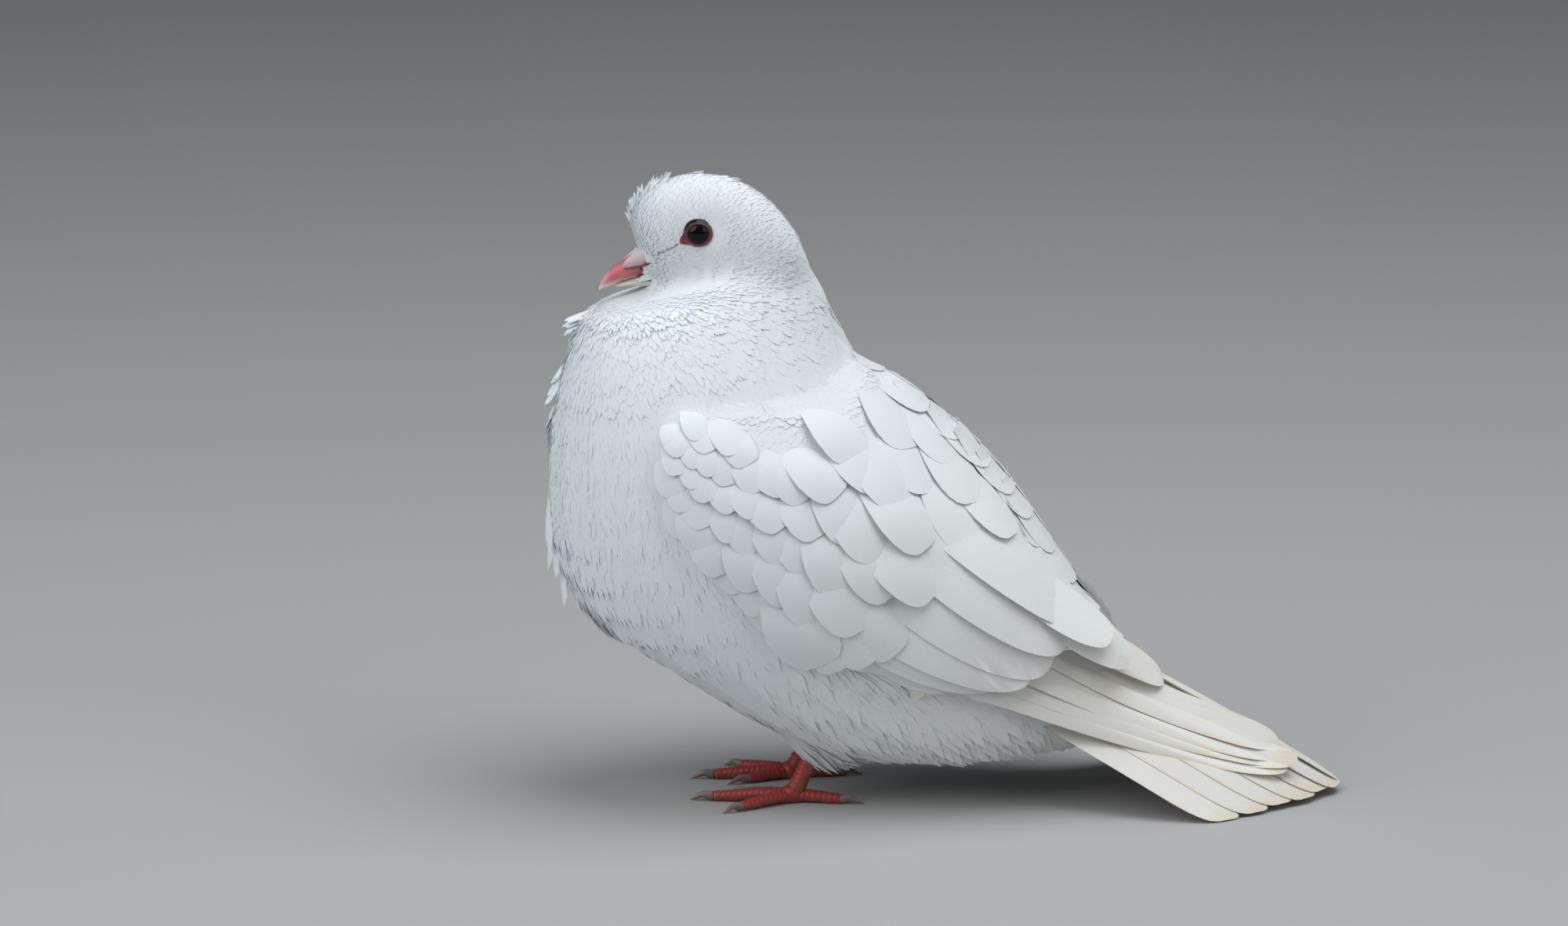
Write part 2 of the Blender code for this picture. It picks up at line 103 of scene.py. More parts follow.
# %% [markdown]
# A long lens from some distance keeps the proportions flat and calm, as a bird watcher's telephoto shows
# them. It stands square to the bird's left side, a little above its back.

# %% Camera
LOOK_AT = place(0, 0, 105.4)
LENS_MM = 180
SENSOR_MM = 36
CAMERA_DISTANCE = 2.5
CAMERA_ELEVATION = math.radians(12)
VIEW_END = 50


def add_object(name, data):
    thing = bpy.data.objects.new(name, data)
    bpy.context.scene.collection.objects.link(thing)
    return thing


def aim(thing, target):
    """Turns a lamp or a camera so that its -Z looks at the target."""
    thing.rotation_euler = (target - thing.location).to_track_quat("-Z", "Y").to_euler()


camera = add_object("camera", bpy.data.cameras.new("camera"))
camera.data.lens = LENS_MM
camera.data.sensor_width = SENSOR_MM
camera.data.clip_end = VIEW_END
towards_camera = Vector((0, -math.cos(CAMERA_ELEVATION), math.sin(CAMERA_ELEVATION)))
camera.location = LOOK_AT + CAMERA_DISTANCE * towards_camera
aim(camera, LOOK_AT)
bpy.context.scene.camera = camera
print("The camera stands", round(camera.location.z, 3), "m above the floor")

# %% [markdown]
# ## Shader sums in plain Python
# A node is laborious to write, so one small class wraps a socket. Its operators add Math nodes, and its
# method node adds any other kind, in materials and in Geometry Nodes alike.

# %% A socket that does sums


class Wire:
    """A socket of a node tree, or only the tree, that takes part in Python's arithmetic."""

    def __init__(self, tree, socket=None):
        self.tree = tree
        self.socket = socket

    def node(self, kind, settings=None, inputs=None, output=0):
        """Adds a node, sets it, fills its sockets with values or wires, and gives one of its outputs."""
        node = self.tree.nodes.new(kind)
        for name, value in (settings or {}).items():
            setattr(node, name, value)
        for key, value in (inputs or {}).items():
            if isinstance(value, Wire):
                self.tree.links.new(value.socket, node.inputs[key])
            else:
                node.inputs[key].default_value = value
        return Wire(self.tree, node.outputs[output])

    def maths(self, operation, first, second=0.0):
        return self.node("ShaderNodeMath", {"operation": operation}, {0: first, 1: second})

    def axis(self, name):
        """One of a vector's three numbers."""
        return self.node("ShaderNodeSeparateXYZ", inputs={0: self}, output=name)

    def clamped(self):
        return self.node("ShaderNodeClamp", inputs={0: self})

    def __add__(self, other):
        return self.maths("ADD", self, other)

    def __radd__(self, other):
        return self.maths("ADD", other, self)

    def __sub__(self, other):
        return self.maths("SUBTRACT", self, other)

    def __rsub__(self, other):
        return self.maths("SUBTRACT", other, self)

    def __mul__(self, other):
        return self.maths("MULTIPLY", self, other)

    def __rmul__(self, other):
        return self.maths("MULTIPLY", other, self)

    def __pow__(self, other):
        return self.maths("POWER", self, other)


def blend(factor, low, high):
    """A colour between two, by a factor from 0 to 1."""
    colours = [value if isinstance(value, Wire) else (*value, 1.0) for value in (low, high)]
    return factor.node("ShaderNodeMix", {"data_type": "RGBA"}, {0: factor, 6: colours[0], 7: colours[1]}, 2)


print("Wire is ready")

# %% [markdown]
# ## Studio
# White feathers need soft light that comes mostly from one side, or their edges vanish. A large lamp stands
# high on the breast's side, a second one hangs overhead, and a smaller, weak one opens the shadows from the
# tail's side. The floor is a plain grey, darker than the bird, and wide enough to fill the view.

# %% Floor and lamps
FLOOR_GREY = (0.42, 0.42, 0.415)
FLOOR_ROUGHNESS = 0.85
FLOOR_RADIUS = 9.0
FLOOR_SIDES = 96
LAMPS = {  # place in metres, size in metres, watts, colour
    "key": ((-1.15, -0.75, 1.15), 1.9, 18.5, (0.97, 0.985, 1.0)),
    "sky": ((0.35, -0.1, 1.55), 1.5, 18.0, (0.92, 0.965, 1.0)),
    "fill": ((1.3, -1.0, 0.9), 1.2, 5.0, (1.0, 0.98, 0.95)),
}
WORLD_GREY = (0.62, 0.66, 0.70)
WORLD_STRENGTH = 0.15


def make_floor():
    bm = bmesh.new()
    bmesh.ops.create_circle(bm, cap_ends=True, segments=FLOOR_SIDES, radius=FLOOR_RADIUS)
    mesh = bpy.data.meshes.new("floor")
    bm.to_mesh(mesh)
    bm.free()
    floor = add_object("floor", mesh)
    paint = bpy.data.materials.new("floor_grey")
    paint.use_nodes = True
    shader = paint.node_tree.nodes["Principled BSDF"]
    shader.inputs["Base Color"].default_value = (*FLOOR_GREY, 1.0)
    shader.inputs["Roughness"].default_value = FLOOR_ROUGHNESS
    mesh.materials.append(paint)
    floor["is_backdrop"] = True


def make_lamps():
    for name, (spot, size, watts, colour) in LAMPS.items():
        light = bpy.data.lights.new(name, "AREA")
        light.shape = "DISK"
        light.size = size
        light.energy = watts
        light.color = colour
        lamp = add_object(name, light)
        lamp.location = spot
        aim(lamp, LOOK_AT)
    world = bpy.data.worlds.new("studio")
    world.use_nodes = True
    sky = world.node_tree.nodes["Background"]
    sky.inputs["Color"].default_value = (*WORLD_GREY, 1.0)
    sky.inputs["Strength"].default_value = WORLD_STRENGTH
    bpy.context.scene.world = world


make_floor()
make_lamps()
bpy.context.scene.view_settings.view_transform = "Standard"
print("The studio has", len(LAMPS), "lamps")

# %% [markdown]
# ## Finishes
# A feather is matt and scatters light deep inside its barbs, so white plumage is a bright, rough surface with
# a little sheen. What tells one feather from the next is not its colour but its barbs, which make fine lines
# that run obliquely out from the shaft, and the shade where it slips under its neighbour. Both are read from
# the feather's own map, called Vane: U runs from root to tip and V from edge to edge. Small functions name
# the steps that every finish takes: the spot on the object, noise, and relief from a height.

# %% Plumage
COLD_WHITE = (0.80, 0.845, 0.87)
WARM_WHITE = (0.87, 0.86, 0.82)
CREAM = (0.80, 0.72, 0.54)
ROOT_SHADE = (0.77, 0.795, 0.80)
WARMING = 5.0  # how fast the white warms towards the tail, for each metre


def new_finish(name, roughness, **fixed):
    """A material, its shader, and a wire to start sums from."""
    material = bpy.data.materials.new(name)
    material.use_nodes = True
    shader = material.node_tree.nodes["Principled BSDF"]
    shader.inputs["Roughness"].default_value = roughness
    for socket, value in fixed.items():
        shader.inputs[socket.replace("_", " ")].default_value = value
    return material, shader, Wire(material.node_tree)


def connect(wire, shader, socket):
    wire.tree.links.new(wire.socket, shader.inputs[socket])


def object_spot(start):
    return start.node("ShaderNodeTexCoord", output="Object")


def noise(spot, scale, detail=2.0):
    return spot.node("ShaderNodeTexNoise", inputs={"Vector": spot, "Scale": scale, "Detail": detail})


def add_relief(shader, height, strength, distance):
    """Bumps of a height that is read as a share of the distance, in metres."""
    inputs = {"Strength": strength, "Distance": distance, "Height": height}
    connect(height.node("ShaderNodeBump", inputs=inputs), shader, "Normal")


def body_white(start):
    """Colder on the head and breast, warmer towards the tail, in soft clouds."""
    spot = object_spot(start)
    warm = spot.axis("X") * WARMING + noise(spot, 22.0, 3.0) * 0.5 + 0.1
    return blend(warm.clamped(), COLD_WHITE, WARM_WHITE)


def barb_lines(start, count, slant):
    """Fine lines along the barbs, which slant out from the shaft towards the edge."""
    vane = start.node("ShaderNodeUVMap", {"uv_map": "Vane"})
    along = vane.axis("X")
    from_shaft = start.maths("ABSOLUTE", vane.axis("Y") - 0.5)
    turns = (along - from_shaft * slant) * count
    return along, from_shaft, start.maths("SINE", turns * math.tau)


def make_plumage():
    material, shader, start = new_finish("plumage", 0.8, Sheen_Weight=0.15, Sheen_Roughness=0.5)
    along, _, lines = barb_lines(start, 9.0, 0.7)
    shade = ((along - 0.05) * 2.2).clamped()
    connect(blend(shade, ROOT_SHADE, body_white(start)), shader, "Base Color")
    add_relief(shader, lines, 0.1, 0.0001)
    return material


def make_skin_finish():
    """The skin shows only in chinks, as down in the shade of the feathers."""
    material, shader, start = new_finish("down", 0.9)
    fluff = noise(object_spot(start), 900.0)
    connect(blend(fluff * 0.5, body_white(start), ROOT_SHADE), shader, "Base Color")
    add_relief(shader, fluff, 0.5, 0.0004)
    return material


PLUMAGE = make_plumage()
DOWN = make_skin_finish()
print("Finishes:", PLUMAGE.name, DOWN.name)

# %% [markdown]
# ## Skin
# The skin under a bird's feathers is one surface. The solids are parted into head, neck, trunk, wings and
# legs, so copies of them are swollen a little until they touch, fused by a voxel remesh, smoothed, and then
# drawn in by the depth of the coat, which is thin on the face and thick on the belly. Where the body is thin,
# as at the wing's edge, the skin is drawn in by a share of that thickness only, or it would turn inside out.

# %% Fuse the flesh
FLESH = ("head", "neck", "trunk", "leg_left", "leg_right", "wing_left", "wing_right")
FUSED = (*FLESH, "eye_left", "eye_right")
SWELL = 0.5 * MM
VOXEL = 1.5 * MM
BILL_BASE = np.array((-50.0, 0.0, 170.0))
WELD = 1e-6  # corners closer than this, in metres, are one


def merged_solid(name):
    """A copy of a solid as one welded mesh."""
    bm = bmesh.new()
    bm.from_mesh(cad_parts[name].data)
    bmesh.ops.remove_doubles(bm, verts=bm.verts, dist=WELD)
    bm.normal_update()
    return bm


def fused_flesh():
    whole = bmesh.new()
    for name in FUSED:
        bm = merged_solid(name)
        for vert in bm.verts:
            vert.co += vert.normal * SWELL
        part = bpy.data.meshes.new(name)
        bm.to_mesh(part)
        bm.free()
        whole.from_mesh(part)
        bpy.data.meshes.remove(part)
    mesh = bpy.data.meshes.new("flesh")
    whole.to_mesh(mesh)
    whole.free()
    draft = add_object("flesh_draft", mesh)
    remesh = draft.modifiers.new("fuse", "REMESH")
    remesh.mode = "VOXEL"
    remesh.voxel_size = VOXEL
    return plain_mesh(draft, "skin")


def plain_mesh(draft, name):
    """The object's evaluated mesh as a new plain mesh; the draft object is removed."""
    bpy.context.view_layer.update()
    graph = bpy.context.evaluated_depsgraph_get()
    mesh = bpy.data.meshes.new_from_object(draft.evaluated_get(graph), depsgraph=graph)
    mesh.name = name
    bpy.data.objects.remove(draft)
    return mesh


def largest_island(mesh):
    """Drops everything but the largest connected piece."""
    bm = bmesh.new()
    bm.from_mesh(mesh)
    left = set(bm.verts)
    islands = []
    while left:
        stack = [left.pop()]
        island = []
        while stack:
            vert = stack.pop()
            island.append(vert)
            for edge in vert.link_edges:
                other = edge.other_vert(vert)
                if other in left:
                    left.remove(other)
                    stack.append(other)
        islands.append(island)
    islands.sort(key=len)
    for island in islands[:-1]:
        bmesh.ops.delete(bm, geom=island, context="VERTS")
    bm.to_mesh(mesh)
    bm.free()


skin_mesh = fused_flesh()
largest_island(skin_mesh)
print("The skin has", len(skin_mesh.polygons), "faces")

# %% Smooth it and draw it in
SMOOTH_ROUNDS = 8
LAST_ROUNDS = 2
FACE_FEATHER = 2.3  # length in mm of the smallest feathers, at the bill
FEATHER_GROWTH = 0.062  # how much longer they grow with each mm from the bill
GROWTH_START = 6.0  # mm from the bill where they begin to grow
LONGEST_FEATHER = 13.0
COAT_SHARE = 0.12  # depth of the coat, as a share of the feathers' length
COAT_DEPTH = 0.75  # and what every spot is drawn in besides, in mm
THIN_SHARE = 0.3  # share of the body's own thickness that it may be drawn in
HOLLOWS = (  # where the face makes room for cere and eye: middle, reach, depth
    ((-43.0, -5.2, 173.4), 3.6, 2.6),
    ((-27.8, -15.5, 183.2), 4.4, 1.5),
)


def read(mesh_data, name, width):
    """A property of all vertices, edges, faces or corners as an array."""
    values = np.empty(len(mesh_data) * width, dtype=np.float32)
    mesh_data.foreach_get(name, values)
    return values.reshape(-1, width).astype(float) if width > 1 else values


def corner_points(mesh):
    """The number of the vertex at each corner of the faces."""
    return read(mesh.loops, "vertex_index", 1).astype(int)


def corner_counts(mesh):
    """How many corners each face has."""
    return read(mesh.polygons, "loop_total", 1).astype(int)


def smooth_surface(mesh, rounds):
    """Moves each vertex half way to the mean of its neighbours, some rounds over."""
    spots = read(mesh.vertices, "co", 3)
    ends = np.empty(len(mesh.edges) * 2, dtype=np.int32)
    mesh.edges.foreach_get("vertices", ends)
    ends = ends.reshape(-1, 2)
    count = np.bincount(ends.ravel(), minlength=len(spots))[:, None]
    for _ in range(rounds):
        total = np.zeros_like(spots)
        for axis in range(3):
            for near, far in ((0, 1), (1, 0)):
                total[:, axis] += np.bincount(ends[:, near], spots[ends[:, far], axis], len(spots))
        spots = (spots + total / count) / 2
    mesh.vertices.foreach_set("co", spots.astype(np.float32).ravel())
    mesh.update()


def feather_length(spots):
    """How long the body feathers are, in mm, from the face to the belly."""
    reach = np.linalg.norm(spots - BILL_BASE, axis=1)
    grown = FACE_FEATHER + FEATHER_GROWTH * np.maximum(reach - GROWTH_START, 0)
    return np.minimum(grown, LONGEST_FEATHER)


def search_tree(mesh):
    return BVHTree.FromPolygons([v.co for v in mesh.vertices], [tuple(p.vertices) for p in mesh.polygons])


def draw_in(mesh):
    """Moves the skin inwards by the depth of the coat that will grow on it."""
    spots = read(mesh.vertices, "co", 3)
    normals = read(mesh.vertex_normals, "vector", 3)
    tree = search_tree(mesh)
    depth = COAT_SHARE * feather_length(drawn(spots)) + COAT_DEPTH
    for i, (spot, normal) in enumerate(zip(spots, normals)):
        found, _, _, thickness = tree.ray_cast(Vector(spot - normal * 1e-5), Vector(-normal))
        if found is not None:
            depth[i] = min(depth[i], thickness / MM * THIN_SHARE)
    at = drawn(spots)
    at[:, 1] = -np.abs(at[:, 1])
    for middle, reach, hollow in HOLLOWS:
        depth += hollow * np.exp(-((np.linalg.norm(at - np.array(middle), axis=1) / reach) ** 2))
    moved = spots - normals * depth[:, None] * MM
    mesh.vertices.foreach_set("co", moved.astype(np.float32).ravel())
    mesh.update()


smooth_surface(skin_mesh, SMOOTH_ROUNDS)
draw_in(skin_mesh)
smooth_surface(skin_mesh, LAST_ROUNDS)
skin_mesh.shade_smooth()
print("Skin drawn in; it reaches from", read(skin_mesh.vertices, "co", 3).min(axis=0).round(4))

# %% [markdown]
# The skin is unwrapped by the side it faces: six charts for the head and six for the rest, so that no two
# charts that lie over each other share a place. Every small feather later keeps a tiny patch of this map at
# the place of its root, which is enough for a baked colour. The same function lays out the bare parts later.

# %% Unwrap the skin
CHART_COLUMNS = 4
CHART_ROWS = 3
CHART_MARGIN = 0.012
THROAT = (160.0, 0.16, -20.0)  # the head's charts begin over this height, rising with x from that place


def side_faced(mesh):
    """The side each face looks to, numbered from 0 to 5."""
    faces = read(mesh.polygons, "normal", 3)
    axis = np.abs(faces).argmax(axis=1)
    return axis * 2 + (np.take_along_axis(faces, axis[:, None], 1)[:, 0] > 0)


def add_map(mesh, name, corners):
    mesh.uv_layers.new(name=name).data.foreach_set("uv", corners.astype(np.float32).ravel())


def lay_charts(mesh, spots, chart, columns, rows, cell, margin):
    """A baked map with a cell for each chart, in which the chart's faces lie flat. Charts come in sixes."""
    corners = corner_points(mesh)
    corner_chart = np.repeat(chart, corner_counts(mesh))
    uv = np.zeros((len(corners), 2))
    for number in np.unique(chart):
        mask = corner_chart == number
        flat = np.delete(spots[corners[mask]], (number % 6) // 2, axis=1)
        low, high = flat.min(axis=0), flat.max(axis=0)
        corner = np.array((number % columns / columns, number // columns / rows))
        uv[mask] = corner + margin + (flat - low) * (cell / (high - low)).min()
    add_map(mesh, "OFBake", uv)


def unwrap_skin():
    spots = drawn(read(skin_mesh.vertices, "co", 3))
    centres = drawn(read(skin_mesh.polygons, "center", 3))
    height, slope, start = THROAT
    above = centres[:, 2] > height + slope * (centres[:, 0] - start)
    cell = np.array((1 / CHART_COLUMNS, 1 / CHART_ROWS)) - 2 * CHART_MARGIN
    chart = side_faced(skin_mesh) + 6 * above
    lay_charts(skin_mesh, spots, chart, CHART_COLUMNS, CHART_ROWS, cell, CHART_MARGIN)


unwrap_skin()
print("Skin unwrapped in", CHART_COLUMNS * CHART_ROWS, "charts")

# %% [markdown]
# ## How the coat lies
# Feathers point away from the bill all over the bird, so one rule gives their direction everywhere: the line
# from the bill to the spot, laid flat on the skin. Their length grows with the distance from the bill. Some
# stand out from the coat: the crest on the forehead, the rough line down the breast, and the nape. All this
# is stored on the skin's vertices, where Geometry Nodes can read it.

# %% Fields on the skin
EYE_FACE = np.array((-27.0, -15.3, 182.2))  # where the bare ring round the eye lies
EYE_BARE = 4.1  # radius in mm that the feathers leave bare
CERE_LINE = np.array(((-50.0, -3.0, 171.0), (-42.0, -5.0, 173.9)))  # the face is bare along this line
BILL_BARE = 2.7
BARE_EDGE = (-0.3, 0.5)  # mm over which the border of a bare place is soft
STANDING_TUFTS = (  # middle x y z, reach, extra lift in degrees, extra length
    ((-49.5, 0.0, 186.0), 4.5, 9.0, 0.2),
    ((-45.0, 0.0, 192.5), 4.5, 9.0, 0.2),
    ((-67.0, 0.0, 152.0), 5.0, 16.0, 0.3),
    ((-70.5, 0.0, 141.0), 4.5, 12.0, 0.2),
    ((-74.5, 0.0, 122.0), 5.0, 18.0, 0.0),
    ((-66.0, -10.0, 64.0), 9.0, 10.0, 0.0),
    ((15.5, 0.0, 158.0), 4.0, 16.0, 0.2),
    ((23.0, 0.0, 143.0), 4.5, 26.0, 0.4),
)
BODY_LIFT = 0.6  # degrees by which the tips stand off
CHEST_DIP = 2.6  # degrees less on the round of the lower breast, where straight tufts would stand off
RUFFLE = (0.4, 0.6)  # everywhere, and on top of it low on the body

# Soft borders between the parts of the coat, as where they begin and end, in mm of the drawing
BREAST_X = (22.0, 44.0)  # of -x: the breast lies ahead of it
BREAST_Z = (38.0, 52.0)  # and above this
CHEST_X = (0.0, 30.0)  # of -x
CHEST_Z = (-105.0, -70.0)  # of -z
LOW_Z = (-75.0, -50.0)  # of -z: the ruffled part of the belly
SHOULDER_LINE = (90.0, 98.0)  # of z + x / 2: the wing's top, which coverts leave free
SHOULDER_X = (-52.0, -38.0)  # of -x
UNDER_WING = ((26.0, 32.0), (38.0, 41.0), (9.0, 12.0))  # of x, z and |y|: no coat where the wing covers it
RUMP_X = (-112.0, -104.0)  # of -x: the coat ends before the tail
BACK_TURN = (0.25, 0.55)  # how far the skin looks up on the back
SHOULDER_TURN = (0.12, 0.3)  # and how far up or ahead on the shoulder


def solid_tree(name):
    """A search tree of a solid's surface."""
    bm = merged_solid(name)
    tree = BVHTree.FromBMesh(bm)
    bm.free()
    return tree


def nearest_solid(spots, names):
    """For each spot the number of the solid that lies nearest."""
    best = np.full(len(spots), np.inf)
    owner = np.zeros(len(spots), dtype=int)
    for number, name in enumerate(names):
        tree = solid_tree(name)
        reach = np.array([tree.find_nearest(Vector(spot))[3] for spot in spots])
        closer = reach < best
        best[closer] = reach[closer]
        owner[closer] = number
    return owner


def away_from(spots, middle, bare):
    """0 nearer to the middle than the bare radius, and 1 outside it."""
    return smooth(np.linalg.norm(spots - middle, axis=1), bare + BARE_EDGE[0], bare + BARE_EDGE[1])


def coat_fields(mesh):
    """Stores the cover of each part of the coat, and how its feathers lie, on the mesh."""
    spots = read(mesh.vertices, "co", 3)
    normals = read(mesh.vertex_normals, "vector", 3)
    at = drawn(spots)
    mirrored_at = np.column_stack((at[:, 0], -np.abs(at[:, 1]), at[:, 2]))
    away = at - BILL_BASE
    flow = away - normals * (away * normals).sum(axis=1, keepdims=True)
    flow /= np.linalg.norm(flow, axis=1, keepdims=True) + 1e-9
    owner = nearest_solid(spots, FLESH)
    head, neck, trunk = owner == 0, owner == 1, owner == 2
    leg, wing = (owner == 3) | (owner == 4), owner > 4
    line = CERE_LINE[1] - CERE_LINE[0]
    share = np.clip((mirrored_at - CERE_LINE[0]) @ line / (line @ line), 0, 1)[:, None]
    open_face = away_from(mirrored_at, EYE_FACE, EYE_BARE)
    open_face *= away_from(mirrored_at, CERE_LINE[0] + share * line, BILL_BARE)
    x, y, z = at.T
    front = smooth(-x, *BREAST_X) * smooth(z, *BREAST_Z)
    up = smooth(normals[:, 2], *BACK_TURN)
    shoulder = smooth(np.maximum(normals[:, 2], -normals[:, 0]), *SHOULDER_TURN)
    shoulder *= smooth(z + 0.5 * x, *SHOULDER_LINE) * smooth(-x, *SHOULDER_X)
    lift = BODY_LIFT - CHEST_DIP * smooth(-x, *CHEST_X) * smooth(-z, *CHEST_Z)
    length = feather_length(at)
    for middle, reach, extra, longer in STANDING_TUFTS:
        near = np.exp(-((mirrored_at - np.array(middle)) ** 2).sum(axis=1) / reach**2)
        lift += extra * near
        length *= 1 + longer * near
    covered = np.prod([smooth(value, *span) for value, span in zip((x, z, np.abs(y)), UNDER_WING)], axis=0)
    trunk = trunk * (1 - covered) * smooth(-x, *RUMP_X)
    fields = {
        "in_head": head * open_face,
        "in_neck": neck * 1.0,
        "in_breast": trunk * front,
        "in_belly": np.maximum(trunk * (1 - front) * (1 - up), leg),
        "in_back": np.maximum(trunk * (1 - front) * up, wing * shoulder),
        "length": length * MM,
        "lift": np.radians(lift),
        "ruffle": RUFFLE[0] + RUFFLE[1] * smooth(-z, *LOW_Z),
    }
    for name, values in fields.items():
        layer = mesh.attributes.new(name, "FLOAT", "POINT")
        layer.data.foreach_set("value", values.astype(np.float32))
    layer = mesh.attributes.new("flow", "FLOAT_VECTOR", "POINT")
    layer.data.foreach_set("vector", flow.astype(np.float32).ravel())
    return {name: int((values > 0.5).sum()) for name, values in fields.items() if name.startswith("in_")}


print("Vertices in each part of the coat:", coat_fields(skin_mesh))

# %% [markdown]
# ## One recipe for a feather
# A feather is a shaft with barbs to both sides, hooked together into a smooth vane that frays at its tip. The
# recipe lays it along X with a length of 1: each barb runs from the shaft obliquely to the outline, which
# swells to a waist and closes in a round or pointed tip. Pulling some barbs in gives the frayed edge. The top
# is arched, the back is flat, and both share the outline, so every feather is a closed, thin shell.

# %% The feather
WAIST_SHARE = 0.35  # share of the barbs that lie between the root and the waist
SHAFT = (0.02, 0.95, 1.25)  # where the first barb leaves it, how far the last one does, and how they crowd


def feather(barbs, width, steps=1, waist=0.6, point=1.0, root=0.3, fray=0.0, cup=0.25, arch=0.04, spine=0.0,
            thick=0.05, seed=0):
    """Points, faces, vane map and which faces are on top, for one feather of length 1."""
    rng = np.random.default_rng(seed)
    share = np.linspace(0, 1, barbs + 1)
    turn = np.clip((share - WAIST_SHARE) / (1 - WAIST_SHARE), 0, 1) * math.pi / 2
    swell = np.minimum(share / WAIST_SHARE, 1)
    near_root = share < WAIST_SHARE
    edge_x = np.where(near_root, waist * swell, waist + (1 - waist) * np.sin(turn))
    opening = root + (1 - root) * np.sin(swell * math.pi / 2)
    half = width / 2 * np.where(near_root, opening, np.cos(turn) ** point)
    shaft_x = SHAFT[0] + SHAFT[1] * share ** SHAFT[2]
    points, vane = [], []

    def add(x, y):
        rise = arch * math.sin(math.pi * x) - cup * width * (2 * y / width) ** 2 / 2
        if y == 0:
            rise += spine
        points.append((x, y, rise))
        vane.append((x, 0.5 + y / width))
        return len(points) - 1

    shaft = [add(x, 0.0) for x in shaft_x]
    tip = add(1.0, 0.0)
    rows = {}
    for side in (1, -1):
        for i in range(barbs):
            pull = fray * (rng.uniform(0.5, 1.0) if i % 2 else rng.uniform(0.0, 0.3)) * share[i]
            end = np.array((edge_x[i], side * half[i]))
            start = np.array((shaft_x[i], 0.0))
            end += (start - end) * pull
            line = [shaft[i]] + [add(*(start + (end - start) * k / steps)) for k in range(1, steps + 1)]
            rows[side, i] = line
    last = [add(shaft_x[-1] + (1 - shaft_x[-1]) * k / steps, 0.0) for k in range(1, steps)]
    rows[1, barbs] = rows[-1, barbs] = [shaft[barbs], *last, tip]
    faces = []
    for side in (1, -1):
        for i in range(barbs):
            near, far = rows[side, i], rows[side, i + 1]
            for k in range(steps):
                quad = (near[k], far[k], far[k + 1], near[k + 1])
                faces.append(quad if side == 1 else quad[::-1])
    upper = [True] * len(faces)
    under = []
    for i in range(barbs + 1):
        x, _, z = points[shaft[i]]
        fullness = 0.4 + 0.6 * math.sin(math.pi * min(1.0, i / barbs + 0.15))
        points.append((x, 0.0, z - spine - thick * fullness))
        vane.append((x, 0.5))
        under.append(len(points) - 1)
    for side in (1, -1):
        for i in range(barbs):
            quad = (under[i], rows[side, i][-1], rows[side, i + 1][-1], under[i + 1])
            faces.append(quad if side == 1 else quad[::-1])
        root_end = (*rows[side, 0], under[0])
        faces.append(root_end if side == 1 else root_end[::-1])
    upper += [False] * (len(faces) - len(upper))
    return np.array(points), faces, np.array(vane), upper


test = feather(6, 0.4)
print("A small feather has", len(test[0]), "points and", len(test[1]), "faces")

# %% [markdown]
# ## The coat
# Small feathers are scattered by one Geometry Nodes tree: points that keep their distance from each other, a
# feather on each, turned to lie along the coat's direction and raised a little at its tip, then made real. A
# few differently frayed feathers take turns, so no two neighbours look stamped. Each piece of the coat is the
# same tree with other numbers. The feathers' normals are leaned towards the skin's, because light doesn't
# stop at one feather: it passes through many, which makes plumage look soft.

# %% Small feathers
VARIANTS = 5
SMALL_CUP = 0.05
SMALL_THICKNESS = 0.01
KINDS = {  # barbs to a side, width, waist, pointedness, fray, arch
    "face": (2, 0.34, 0.45, 1.1, 0.0, 0.0),
    "neck": (3, 0.36, 0.45, 1.3, 0.15, 0.03),
    "combed": (2, 0.26, 0.45, 1.2, 0.0, 0.05),
    "downy": (2, 0.24, 0.42, 1.3, 0.0, 0.05),
    "smooth": (4, 0.62, 0.60, 0.6, 0.20, 0.0),
}


def feather_mesh(name, shape):
    """A mesh with its vane map. The rim is kept sharp, so that top and back are shaded apart."""
    points, faces, vane, upper = shape
    mesh = bpy.data.meshes.new(name)
    mesh.from_pydata(points, [], faces)
    add_map(mesh, "Vane", vane[corner_points(mesh)])
    side = mesh.attributes.new("upper", "FLOAT", "FACE")
    side.data.foreach_set("value", np.array(upper, dtype=np.float32))
    edges = read(mesh.loops, "edge_index", 1).astype(int)
    tops = np.bincount(edges, np.repeat(upper, corner_counts(mesh)), len(mesh.edges))
    mesh.shade_smooth()
    rim = mesh.attributes.new("sharp_edge", "BOOLEAN", "EDGE")
    rim.data.foreach_set("value", tops == 1)
    return mesh


def feather_set(kind):
    barbs, width, waist, point, fray, arch = KINDS[kind]
    group = bpy.data.collections.new(f"{kind}_feathers")
    for number in range(VARIANTS):
        shape = feather(barbs, width, waist=waist, point=point, fray=fray, arch=arch, cup=SMALL_CUP,
                        thick=SMALL_THICKNESS, seed=number)
        mesh = feather_mesh(f"{kind}_feather_{number}", shape)
        group.objects.link(bpy.data.objects.new(mesh.name, mesh))
    return group


FEATHERS = {kind: feather_set(kind) for kind in KINDS}

